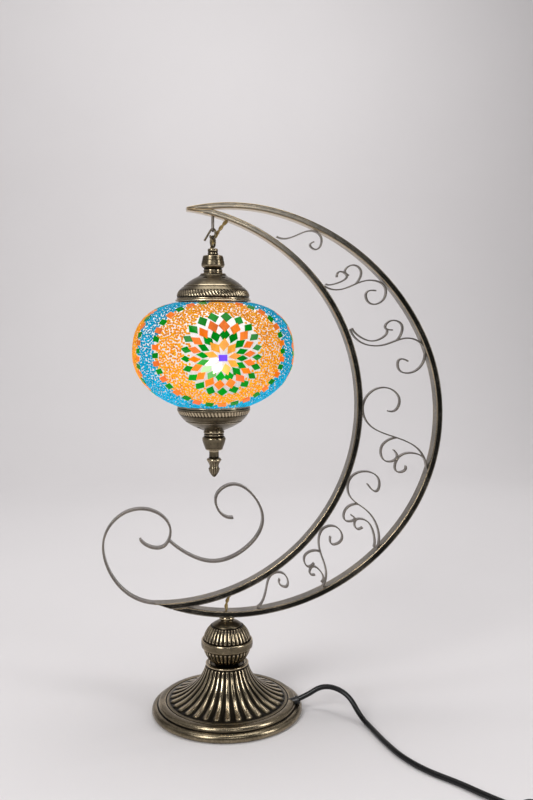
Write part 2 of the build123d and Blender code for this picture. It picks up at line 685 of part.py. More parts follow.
SWITCH_LENGTH = 56.0
SWITCH_AXIS_Z = 5.2
cord_lamp_route = [
    tuple(cord_way.offset(-4.5).origin), tuple(cord_way.offset(15.5).origin),
    (107.0, -18.3, 20.5), (126.0, -27.5, 14.0), (137.0, -50.5, 5.0), (143.0, -75.0, CORD_LEVEL),
    (148.0, -105.0, CORD_LEVEL), (155.5, -136.0, CORD_LEVEL), (171.0, -166.0, CORD_LEVEL),
    (193.0, -191.0, CORD_LEVEL), (211.0, -219.0, 3.4), (228.8, -244.9, SWITCH_AXIS_Z),
]
switch_in = cord_lamp_route[-1]
switch_out = along(switch_in, SWITCH_HEADING, SWITCH_LENGTH, SWITCH_AXIS_Z)
coil_in = (COIL_CENTRE[0] + COIL_MEAN_R + COIL_PITCH, COIL_CENTRE[1], CORD_LEVEL)
cord_coil_route = [
    switch_out, along(switch_out, SWITCH_HEADING, 15.0, 4.2), (276.6, -324.0, 3.1), coil_in,
]
PLUG_Z = 7.2
coil_out = (COIL_CENTRE[0] - COIL_MEAN_R - COIL_PITCH, COIL_CENTRE[1], CORD_LEVEL + COIL_PITCH)
plug_in = (coil_out[0] - 1.0, COIL_CENTRE[1] + 30.0, PLUG_Z)
cord_plug_route = [coil_out, (coil_out[0] - 0.2, COIL_CENTRE[1] + 15.0, 8.0), plug_in]

cord_pieces = []
cord_length = 0.0
for route in (cord_lamp_route, cord_coil_route, cord_plug_route):
    radii = bend_radii(route)
    print("cord bend radii", [round(r, 1) for r in radii])
    piece = tube(route, radii, CORD_R)
    cord_length += piece.volume / (math.pi * CORD_R**2)
    cord_pieces.append(piece)
with BuildPart() as mains_cord:
    for piece in cord_pieces:
        add(piece)
save(mains_cord.part, "mains_cord")

with BuildPart() as cord_coil:
    with BuildSketch(Plane.XZ):
        with Locations((COIL_CENTRE[0] + COIL_MEAN_R, COIL_HEIGHT / 2 + 0.05)):
            RectangleRounded(2 * COIL_PITCH + 2 * CORD_R, COIL_HEIGHT, 2.6)
    revolve(axis=Axis((COIL_CENTRE[0], 0, 0), (0, 0, 1)))
coil_solid = cord_coil.part.moved(Location((0, COIL_CENTRE[1], 0)))
save(coil_solid, "cord_coil")
COIL_TURNS = 6.5
print("cord length", round(cord_length + SWITCH_LENGTH + COIL_TURNS * math.tau * COIL_MEAN_R))

# ---------------------------------------------------------------- inline switch
switch_mid = along(switch_in, SWITCH_HEADING, SWITCH_LENGTH / 2, 0.0)
switch_plane = Plane(origin=switch_mid,
                     x_dir=(math.cos(math.radians(SWITCH_HEADING)), math.sin(math.radians(SWITCH_HEADING)), 0),
                     z_dir=(0, 0, 1))
SWITCH_WIDTH = 22.0
SWITCH_SPLIT_Z = 6.4
SWITCH_TOP_Z = 14.0
ROCKER_LENGTH = 17.0
ROCKER_WIDTH = 10.0
ROCKER_PIVOT_Z = 10.4
ROCKER_PIN_R = 1.4
ROCKER_TILT = 8.0  # the switch rests on; it travels twice this to off
rocker_plane = Plane(origin=switch_mid, x_dir=switch_plane.x_dir, z_dir=switch_plane.y_dir * -1)


def switch_block(low, high, rounding):
    """A slab of the switch case between two heights, rounded at its outer end."""
    with BuildPart() as block:
        with BuildSketch(switch_plane.offset(low)):
            SlotOverall(SWITCH_LENGTH, SWITCH_WIDTH)
        extrude(amount=high - low)
        outer = block.faces().sort_by(Axis.Z)[-1 if rounding == "top" else 0]
        fillet(outer.edges(), 2.0)
    return block.part


with BuildPart() as switch_lower:
    add(switch_block(0.0, SWITCH_SPLIT_Z, "bottom"))
    with BuildSketch(switch_plane.offset(3.4)):
        SlotOverall(36.0, 17.0)
    extrude(amount=10.0, mode=Mode.SUBTRACT)
save(switch_lower.part, "switch_lower")

with BuildPart() as switch_upper:
    add(switch_block(SWITCH_SPLIT_Z, SWITCH_TOP_Z, "top"))
    with BuildSketch(switch_plane.offset(SWITCH_SPLIT_Z)):
        SlotOverall(36.0, 17.0)
    extrude(amount=2.2, mode=Mode.SUBTRACT)
    with BuildSketch(switch_plane.offset(SWITCH_SPLIT_Z)):
        Rectangle(ROCKER_LENGTH + 2.0, ROCKER_WIDTH + 0.8)
    extrude(amount=12.0, mode=Mode.SUBTRACT)
    with BuildSketch(rocker_plane.offset(-ROCKER_WIDTH / 2 - 1.6)):
        with Locations((0, ROCKER_PIVOT_Z)):
            Circle(ROCKER_PIN_R + 0.05)
    extrude(amount=ROCKER_WIDTH + 3.2, mode=Mode.SUBTRACT)
save(switch_upper.part, "switch_upper")

with BuildPart() as rocker:
    with BuildSketch(rocker_plane.offset(-ROCKER_WIDTH / 2)):
        with BuildLine():
            Polyline((-ROCKER_LENGTH / 2, 15.6), (-ROCKER_LENGTH / 2, 11.6), (-3.0, 8.6), (3.0, 8.6),
                     (ROCKER_LENGTH / 2, 11.6), (ROCKER_LENGTH / 2, 15.6))
            ThreePointArc((ROCKER_LENGTH / 2, 15.6), (0, 14.2), (-ROCKER_LENGTH / 2, 15.6))
        make_face()
    extrude(amount=ROCKER_WIDTH)
    with BuildSketch(rocker_plane.offset(-ROCKER_WIDTH / 2 - 1.5)):
        with Locations((0, ROCKER_PIVOT_Z)):
            Circle(ROCKER_PIN_R)
    extrude(amount=ROCKER_WIDTH + 3.0)
rocker_axis = Axis((switch_mid[0], switch_mid[1], ROCKER_PIVOT_Z), rocker_plane.z_dir)
save(rocker.part.rotate(rocker_axis, ROCKER_TILT), "switch_rocker")
print("rocker", rocker_axis)

# ---------------------------------------------------------------- plug
PLUG_LENGTH = 36.0
PLUG_WIDTH = 26.0
PIN_R = 2.0
PIN_LENGTH = 19.0
PIN_PITCH = 18.6
plug_plane = Plane(origin=plug_in, x_dir=(1, 0, 0), z_dir=(0, 1, 0))
with BuildPart() as plug_body:
    with BuildSketch(plug_plane):
        Circle(4.4)
    with BuildSketch(plug_plane.offset(12.0)):
        RectangleRounded(14.0, 11.0, 4.5)
    with BuildSketch(plug_plane.offset(PLUG_LENGTH)):
        RectangleRounded(PLUG_WIDTH, 13.8, 5.0)
    loft()
save(plug_body.part, "plug_body")

with BuildPart() as plug_pins:
    with BuildSketch(plug_plane.offset(PLUG_LENGTH)):
        with GridLocations(PIN_PITCH, 1, 2, 1):
            Circle(PIN_R)
    extrude(amount=PIN_LENGTH)
    fillet(plug_pins.faces().sort_by(Axis.Y)[-2:].edges(), 1.2)
save(plug_pins.part, "plug_pins")
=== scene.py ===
import math
import random

import bmesh
import bpy
from mathutils import Matrix, Vector


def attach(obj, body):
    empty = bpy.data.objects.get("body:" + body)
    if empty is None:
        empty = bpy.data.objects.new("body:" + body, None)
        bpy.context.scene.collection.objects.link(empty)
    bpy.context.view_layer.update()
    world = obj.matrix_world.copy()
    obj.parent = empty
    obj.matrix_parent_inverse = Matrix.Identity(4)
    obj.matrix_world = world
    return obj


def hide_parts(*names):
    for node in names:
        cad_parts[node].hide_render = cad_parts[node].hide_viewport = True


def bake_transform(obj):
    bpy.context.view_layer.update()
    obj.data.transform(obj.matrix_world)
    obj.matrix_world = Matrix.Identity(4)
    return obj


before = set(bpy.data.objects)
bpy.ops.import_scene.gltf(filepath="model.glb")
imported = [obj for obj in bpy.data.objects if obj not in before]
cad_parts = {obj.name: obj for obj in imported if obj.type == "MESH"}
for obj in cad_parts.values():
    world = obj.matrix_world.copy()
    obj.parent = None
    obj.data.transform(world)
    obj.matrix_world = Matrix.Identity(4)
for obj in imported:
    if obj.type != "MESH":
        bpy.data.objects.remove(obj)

# Looks of the mosaic lantern on its crescent stand. The helpers take millimetres,
# as the frame's own drawing does, and MM turns them into Blender's metres.

MM = 0.001
TAU = 2 * math.pi
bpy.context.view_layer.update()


# ---- camera
def add_camera():
    """The camera, from in front of the lamp and a little to its left."""
    data = bpy.data.cameras.new("camera")
    data.sensor_fit = "VERTICAL"
    data.sensor_height = 24.0
    data.lens = 26.79
    camera = bpy.data.objects.new("camera", data)
    camera.location = (-0.09854, -0.93758, 0.42942)
    pitch_down = math.radians(5.4)
    turn_right = math.radians(8.61)
    camera.rotation_euler = (math.pi / 2 - pitch_down, 0, -turn_right)
    bpy.context.collection.objects.link(camera)
    bpy.context.scene.camera = camera


add_camera()


# ---- node helpers
class Nodes:
    """A short way to add and join shader nodes of one material, or of the world."""

    def __init__(self, name, made_in=bpy.data.materials, shader="Principled BSDF"):
        self.owner = made_in.new(name)
        self.owner.use_nodes = True
        self.tree = self.owner.node_tree
        self.shader = self.tree.nodes[shader]

    def add(self, kind, **settings):
        node = self.tree.nodes.new("ShaderNode" + kind)
        for key, value in settings.items():
            if hasattr(node, key):
                setattr(node, key, value)
            else:
                node.inputs[key.replace("_", " ")].default_value = value
        return node

    def join(self, out, into):
        self.tree.links.new(out, into)

    def set(self, **values):
        for key, value in values.items():
            self.shader.inputs[key.replace("_", " ")].default_value = value

    def noise(self, scale, detail=3.0, rough=0.5, stretch=None):
        """Noise in the object's own metres; stretch squeezes it along each axis."""
        node = self.add("TexNoise", Scale=scale, Detail=detail, Roughness=rough)
        place = self.add("TexCoord").outputs["Object"]
        if stretch:
            mapping = self.add("Mapping")
            mapping.inputs["Scale"].default_value = stretch
            self.join(place, mapping.inputs["Vector"])
            place = mapping.outputs["Vector"]
        self.join(place, node.inputs["Vector"])
        return node.outputs["Fac"]

    def ramp(self, value, stops):
        """Colours, or grey levels, at places from 0 to 1."""
        node = self.add("ValToRGB")
        points = node.color_ramp.elements
        while len(points) < len(stops):
            points.new(0.5)
        for point, (at, colour) in zip(points, stops):
            point.position = at
            point.color = (*(colour if isinstance(colour, tuple) else (colour,) * 3), 1.0)
        self.join(value, node.inputs["Fac"])
        return node.outputs["Color"]

    def drive(self, name, value, stops):
        """Lets a value set one of the shader's inputs through a ramp."""
        self.join(self.ramp(value, stops), self.shader.inputs[name])

    def mix(self, factor, a, b, blend="MIX"):
        """Mixes two colours; each is an output or a plain colour."""
        node = self.add("Mix", data_type="RGBA", blend_type=blend)
        for socket, value in ((node.inputs[0], factor), (node.inputs[6], a), (node.inputs[7], b)):
            if isinstance(value, bpy.types.NodeSocket):
                self.join(value, socket)
            else:
                socket.default_value = value if isinstance(value, float) else (*value, 1.0)
        return node.outputs[2]

    def maths(self, operation, a, b):
        node = self.add("Math", operation=operation)
        for socket, value in ((node.inputs[0], a), (node.inputs[1], b)):
            if isinstance(value, bpy.types.NodeSocket):
                self.join(value, socket)
            else:
                socket.default_value = value
        return node.outputs[0]

    def bump(self, height, strength, distance, normal=None):
        node = self.add("Bump", Strength=strength, Distance=distance)
        self.join(height, node.inputs["Height"])
        if normal is not None:
            self.join(normal, node.inputs["Normal"])
        self.join(node.outputs["Normal"], self.shader.inputs["Normal"])

    def attribute(self, name):
        return self.add("Attribute", attribute_name=name)


# ---- metals
def antique_metal(name, tones, rough, grain, edge=0.0):
    """Plated metal with dark patina in its hollows and rubbed bright high places.

    A mesh attribute says how rubbed a place is: 0 in a groove, 1 on a ridge.
    On the bars it also holds a painted sheen that is lighter towards their upper tip, in place of the
    lights' reflection there.
    With an edge radius, a mesh without the attribute is rubbed bright along its sharp edges.
    """
    dark, mid, bright = tones
    n = Nodes(name)
    patina = n.noise(38.0, 5.0, 0.62)
    specks = n.noise(420.0, 3.0, 0.6)
    normal = None
    if edge:
        bevel = n.add("Bevel", samples=4, Radius=edge)
        dot = n.add("VectorMath", operation="DOT_PRODUCT")
        n.join(bevel.outputs["Normal"], dot.inputs[0])
        n.join(n.add("NewGeometry").outputs["Normal"], dot.inputs[1])
        worn = n.ramp(dot.outputs["Value"], [(0.86, 1.0), (0.995, 0.45)])
        normal = bevel.outputs["Normal"]
    else:
        worn = n.attribute("wear_and_sheen").outputs["Fac"]
    level = n.maths("ADD", worn, n.maths("MULTIPLY", n.maths("SUBTRACT", patina, 0.5), 0.55))
    level = n.maths("ADD", level, n.maths("MULTIPLY", n.maths("SUBTRACT", specks, 0.5), 0.30))
    n.drive("Base Color", level, [(0.12, dark), (0.5, mid), (0.92, bright)])
    n.drive("Roughness", level, [(0.1, rough + 0.14), (0.9, rough - 0.06)])
    n.set(Metallic=1.0)
    n.bump(n.noise(*grain), 0.14, 0.0004, normal)
    return n.owner


CAST_GRAIN = (170.0, 4.0, 0.6)
TURNED_GRAIN = (170.0, 4.0, 0.6, (1, 1, 9))
BRONZE_TONES = [(0.016, 0.013, 0.009), (0.165, 0.135, 0.088), (0.58, 0.48, 0.33)]
BAR_TONES = [(0.016, 0.015, 0.012), (0.22, 0.20, 0.17), (0.60, 0.48, 0.31)]
STRIP_TONES = [(0.05, 0.045, 0.038), (0.25, 0.225, 0.20), (0.46, 0.40, 0.31)]
bronze = antique_metal("antique_bronze", BRONZE_TONES, 0.25, CAST_GRAIN)
bronze_cad = antique_metal("antique_bronze_cast", BRONZE_TONES, 0.25, TURNED_GRAIN, edge=0.0005)
bar_metal = antique_metal("bronze_bar", BAR_TONES, 0.26, CAST_GRAIN)
strip_metal = antique_metal("bronze_strip", STRIP_TONES, 0.28, CAST_GRAIN, edge=0.0004)


def plain_metal(name, colour, rough):
    """Plated steel with fine brushing."""
    n = Nodes(name)
    brushed = n.noise(300.0, 4.0, 0.7, (1, 1, 0.08))
    n.drive("Base Color", brushed, [(0.3, tuple(0.75 * c for c in colour)), (0.7, colour)])
    n.set(Metallic=1.0, Roughness=rough)
    n.bump(brushed, 0.1, 0.0003)
    return n.owner


def plastic(name, colour, rough, grain=260.0, depth=0.12, **more):
    """Moulded plastic with a fine even texture."""
    n = Nodes(name)
    tone = n.noise(30.0, 3.0)
    n.drive("Base Color", tone, [(0.3, tuple(0.8 * c for c in colour)), (0.7, colour)])
    n.drive("Roughness", tone, [(0.2, rough + 0.08), (0.8, rough)])
    n.set(**more)
    n.bump(n.noise(grain, 3.0, 0.6), depth, 0.0003)
    return n.owner


steel = plain_metal("plated_steel", (0.56, 0.56, 0.57), 0.30)
iron = plastic("cast_iron", (0.07, 0.07, 0.07), 0.6, 150.0, 0.5)
black_plastic = plastic("black_plastic", (0.018, 0.018, 0.019), 0.34)
holder_plastic = plastic("holder", (0.05, 0.045, 0.04), 0.45)
cord_pvc = plastic("cord_pvc", (0.004, 0.004, 0.0045), 0.24, 420.0, 0.05, Specular_IOR_Level=0.35)
wire_pvc = plastic("wire_pvc", (0.34, 0.235, 0.075), 0.30, 420.0, 0.10)
felt = plastic("felt", (0.035, 0.035, 0.035), 0.85, 900.0, 0.9, Sheen_Weight=0.6)


# ---- mesh helpers
LANTERN_X = -13.0
PLAIN_WEAR = 0.43  # a turned surface where it is neither grooved nor bulging
BULGE_WEAR = 0.42
INNER_BULGE = -0.6


def finish(obj, body, material, replaced=()):
    """Gives a piece its material, its body and the frame nodes that it stands for."""
    obj.data.materials.append(material)
    if obj.name not in bpy.context.collection.objects:
        bpy.context.collection.objects.link(obj)
    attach(obj, body)
    if replaced:
        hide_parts(*replaced)
    return obj


def shape(name, points, faces, wear_and_sheen=None, sharp=38.0):
    """A mesh object from points in millimetres, smooth except at sharp edges."""
    mesh = bpy.data.meshes.new(name)
    mesh.from_pydata([(x * MM, y * MM, z * MM) for x, y, z in points], [], faces)
    work = bmesh.new()
    work.from_mesh(mesh)
    bmesh.ops.recalc_face_normals(work, faces=work.faces)
    for edge in work.edges:
        edge.smooth = edge.calc_face_angle(0.0) < math.radians(sharp)
    for face in work.faces:
        face.smooth = True
    work.to_mesh(mesh)
    work.free()
    if wear_and_sheen is not None:
        mesh.attributes.new("wear_and_sheen", "FLOAT", "POINT").data.foreach_set("value", wear_and_sheen)
    obj = bpy.data.objects.new(name, mesh)
    bpy.context.collection.objects.link(obj)
    return obj


def band_faces(starts, count):
    """Quads between neighbouring rings of points, from each ring's first point."""
    return [(a + k, a + (k + 1) % count, b + (k + 1) % count, b + k)
            for a, b in zip(starts, starts[1:]) for k in range(count)]


def tube_faces(starts, count):
    """The same, with a flat face on the first and the last ring."""
    return band_faces(starts, count) + [tuple(range(a, a + count)) for a in (starts[0], starts[-1])]


def flow(*runs, per=6):
    """A line through points: smooth within each run, with a corner between runs."""
    line = []
    for run in runs:
        ends = [run[0], *run, run[-1]]
        for a, b, c, d in zip(ends, ends[1:], ends[2:], ends[3:]):
            for k in range(per + 1):
                t = k / per
                line.append(tuple(
                    0.5 * (2 * q + (r - p) * t + (2 * p - 5 * q + 4 * r - s) * t * t
                           + (3 * q - p - 3 * r + s) * t ** 3)
                    for p, q, r, s in zip(a, b, c, d)))
    kept = [line[0]]
    for point in line[1:]:
        if math.dist(point, kept[-1]) > 0.02:
            kept.append(point)
    return kept


def arc(centre, radius, start, end, steps):
    """Points on an arc in degrees, from start to end."""
    angles = [math.radians(start + (end - start) * k / steps) for k in range(steps + 1)]
    return [(centre[0] + radius * math.cos(a), centre[1] + radius * math.sin(a)) for a in angles]


def convexity(line, reach=1.2):
    """How far each place on an outline bulges out, from -1 in a groove to 1 on a ridge."""
    values = []
    for i, point in enumerate(line):
        before, after = i, i
        while before > 0 and math.dist(line[before], point) < reach:
            before -= 1
        while after < len(line) - 1 and math.dist(line[after], point) < reach:
            after += 1
        back = (point[0] - line[before][0], point[1] - line[before][1])
        ahead = (line[after][0] - point[0], line[after][1] - point[1])
        turn = math.atan2(back[0] * ahead[1] - back[1] * ahead[0],
                          back[0] * ahead[0] + back[1] * ahead[1])
        values.append(max(-1.0, min(1.0, turn / 0.9)))
    return values


def lathe(name, outer, inner, steps, axis_x=0.0, relief=None, sharp=38.0):
    """A turned shell between an outer line, bottom to top, and an inner line back down.

    relief(r, z, angle) gives how far an outer point moves out, and how rubbed bright it is.
    """
    loop = list(outer) + list(inner)
    bulge = convexity(outer) + [INNER_BULGE] * len(inner)
    points, wear_and_sheen = [], []
    for i, (r, z) in enumerate(loop):
        before, after = loop[max(i - 1, 0)], loop[min(i + 1, len(loop) - 1)]
        length = math.dist(before, after) or 1.0
        out, up = (after[1] - before[1]) / length, (before[0] - after[0]) / length
        for k in range(steps):
            angle = TAU * k / steps
            change = relief(r, z, angle) if relief and i < len(outer) else None
            push, worn = change or (0.0, PLAIN_WEAR + BULGE_WEAR * bulge[i])
            radius = r + push * out
            points.append((axis_x + radius * math.cos(angle), radius * math.sin(angle), z + push * up))
            wear_and_sheen.append(worn)
    starts = [i * steps for i in range(len(loop))]
    closed = loop[0][0] > 0.05 or loop[-1][0] > 0.05
    obj = shape(name, points, band_faces(starts + [0] if closed else starts, steps), wear_and_sheen, sharp)
    if not closed:
        merge_poles(obj)
    return obj


def turned(name, node, outer, inner, steps, body="lantern", holes=(), **more):
    """A turned bronze piece of the pedestal or the lantern, in place of a frame node."""
    obj = lathe(name, outer, inner, steps, LANTERN_X if body == "lantern" else 0.0, **more)
    if holes:
        cut_holes(obj, holes)
    finish(obj, body, bronze, [node])


def merge_poles(obj):
    """Joins the rings of zero radius at the ends of a solid turned shape."""
    work = bmesh.new()
    work.from_mesh(obj.data)
    bmesh.ops.remove_doubles(work, verts=work.verts, dist=0.00001)
    work.to_mesh(obj.data)
    work.free()


def rib(across, over, half, height):
    """A rounded rib: its height, and how rubbed bright it is, at a distance across and past its end."""
    x = math.hypot(across, over) / half
    if x >= 1:
        return 0.0, 0.06
    swell = math.sqrt(1 - x * x)
    return height * swell, 0.05 + 0.95 * swell ** 3


def cut_holes(obj, cutters):
    """Cuts the cutter meshes' shapes out of a mesh."""
    for cutter in cutters:
        modifier = obj.modifiers.new("cut", "BOOLEAN")
        modifier.object = cutter
        modifier.solver = "EXACT"
    bpy.context.view_layer.update()
    made = bpy.data.meshes.new_from_object(obj.evaluated_get(bpy.context.evaluated_depsgraph_get()))
    obj.modifiers.clear()
    obj.data = made
    for cutter in cutters:
        bpy.data.objects.remove(cutter)


def block(centre, size, turn, tilt=0.0):
    """A box for cutting, turned about the vertical through the lantern's axis."""
    place = (Matrix.Translation((LANTERN_X, 0, centre[1])) @ Matrix.Rotation(turn, 4, "Z")
             @ Matrix.Translation((centre[0], 0, 0)) @ Matrix.Rotation(tilt, 4, "X"))
    points = [place @ Vector((x * size[0], y * size[1], z * size[2]))
              for x in (-0.5, 0.5) for y in (-0.5, 0.5) for z in (-0.5, 0.5)]
    faces = [(0, 1, 3, 2), (4, 6, 7, 5), (0, 4, 5, 1), (2, 3, 7, 6), (0, 2, 6, 4), (1, 5, 7, 3)]
    return shape("cutter", points, faces)


# ---- pedestal
BASE_RIBS = 32
BASE_RIB_REACH = 62.4
BASE_RIB_TOP = 51.6
BALL_RIBS = 34
BALL_RIB_TALL = 0.95
BALL_Z = 76.0
BALL_R = 26.3


def base_relief(r, z, angle):
    """Radial ribs with rounded ends down the bell of the base."""
    if not 22.0 < r < 63.0 or z > 52.3:
        return None
    pitch = TAU / BASE_RIBS
    half = 0.34 * pitch * r
    across = abs((angle / pitch) % 1.0 - 0.5) * pitch * r
    over = max(0.0, r - BASE_RIB_REACH + half, (z - BASE_RIB_TOP + half) if r < 30 else 0.0)
    return rib(across, over, half, min(1.5, 0.42 * half))


def build_base():
    """The ribbed bell with its plain band, groove and rounded rim."""
    outer = flow(
        [(78.4, 0.6), (79.8, 0.6)],
        [(79.8, 0.6), (81.3, 2.2), (81.7, 4.5), (80.6, 7.3), (78.2, 8.8), (76.0, 9.0)],
        [(76.0, 9.0), (75.3, 8.8), (75.0, 9.6)],
        [(75.0, 9.6), (74.6, 11.6), (73.2, 13.2), (70.0, 14.0), (67.2, 13.9)],
        [(67.2, 13.9), (66.3, 13.1), (65.5, 13.7)],
        [(65.5, 13.7), (64.2, 14.0), (62.5, 14.3)],
        [(62.5, 14.3), (55.0, 16.6), (47.7, 19.7), (41.4, 23.8), (35.9, 28.5), (31.6, 33.2),
         (28.3, 38.0), (25.4, 43.6), (23.5, 48.8), (22.3, 52.4)],
        [(22.3, 52.4), (23.2, 53.0), (23.2, 54.1), (22.4, 54.5)],
        [(22.4, 54.5), (18.9, 54.3)],
        [(18.9, 54.3), (17.8, 52.2), (13.0, 52.0), (5.3, 52.0)],
        per=7)
    inner = flow(
        [(5.3, 50.8), (20.6, 50.8)],
        [(20.6, 50.8), (26.4, 37.2), (34.4, 27.0), (46.6, 17.9), (61.8, 12.4)],
        [(61.8, 12.4), (69.5, 12.2), (73.4, 9.6), (77.2, 6.8), (78.4, 0.6)], per=3)
    turned("base_bell", "base_shell", outer, inner, BASE_RIBS * 12, "frame", relief=base_relief,
           sharp=60.0)


def ball_relief(r, z, angle):
    """Upright ribs on the ball, with smooth ends towards its poles."""
    height = abs(z - BALL_Z)
    lat = math.degrees(math.asin(min(1.0, height / BALL_R)))
    if not 7.0 < lat < 52.0:
        return -0.25, 0.42
    pitch = TAU / BALL_RIBS
    half = 0.40 * pitch * r
    across = abs((angle / pitch) % 1.0 - 0.5) * pitch * r
    over = max(0.0, math.radians(lat - 49.0) * BALL_R + half, math.radians(11.0 - lat) * BALL_R + half)
    push, worn = rib(across, over, half, BALL_RIB_TALL)
    return push - BALL_RIB_TALL, worn


def build_ball():
    """Two fluted half balls, the band between them, and the rings of the neck."""
    low = arc((0, BALL_Z), BALL_R, -65.0, 0.0, 40)
    high = arc((0, BALL_Z), BALL_R, 0.0, 70.0, 44)
    middle = (BALL_R - 1.9, BALL_Z)
    fluted = {"relief": ball_relief, "sharp": 55.0}
    turned("ball_lower_fluted", "ball_lower", [(5.3, 52.0), *low],
           [middle, (20.0, 60.0), (9.0, 53.2), (5.3, 53.2)], BALL_RIBS * 10, "frame", **fluted)
    turned("ball_upper_fluted", "ball_upper", [*high, (5.3, 100.7)],
           [(5.3, 98.3), (9.0, 98.2), (20.0, 90.4), middle], BALL_RIBS * 10, "frame", **fluted)
    band = flow([(26.0, 71.7), (26.8, 71.6), (27.7, 72.6), (28.0, 76.0), (27.7, 79.4),
                 (26.8, 80.4), (26.0, 80.3)])
    turned("ball_band", "ball_ring", band, [(25.9, 79.0), (25.9, 73.0)], 160, "frame")
    rings = flow([(6.9, 100.4), (7.3, 101.2), (6.5, 102.0)],
                 [(6.5, 102.0), (7.9, 102.7), (8.4, 104.0), (7.9, 105.3), (6.9, 105.9)],
                 [(6.9, 105.9), (8.3, 106.3), (8.3, 107.0)])
    turned("neck_rings", "neck_collar", rings, [(5.1, 107.0), (5.1, 100.4)], 96, "frame")


build_base()
build_ball()


# ---- lantern caps
CAP_STEPS = 288
ROPE_TURNS = 66


def rope_relief(low, high, lean):
    """Slanting rope ridges in a recessed band between two heights."""
    def relief(r, z, angle):
        if not low < z < high:
            return None
        part = (z - low) / (high - low)
        turn = (angle * ROPE_TURNS / TAU + lean * part) % 1.0
        ridge = math.sin(math.pi * turn) ** 0.8
        fade = min(1.0, 4.5 * part, 4.5 * (1 - part))
        return (ridge - 0.75) * fade, 0.08 + 0.92 * ridge * fade
    return relief


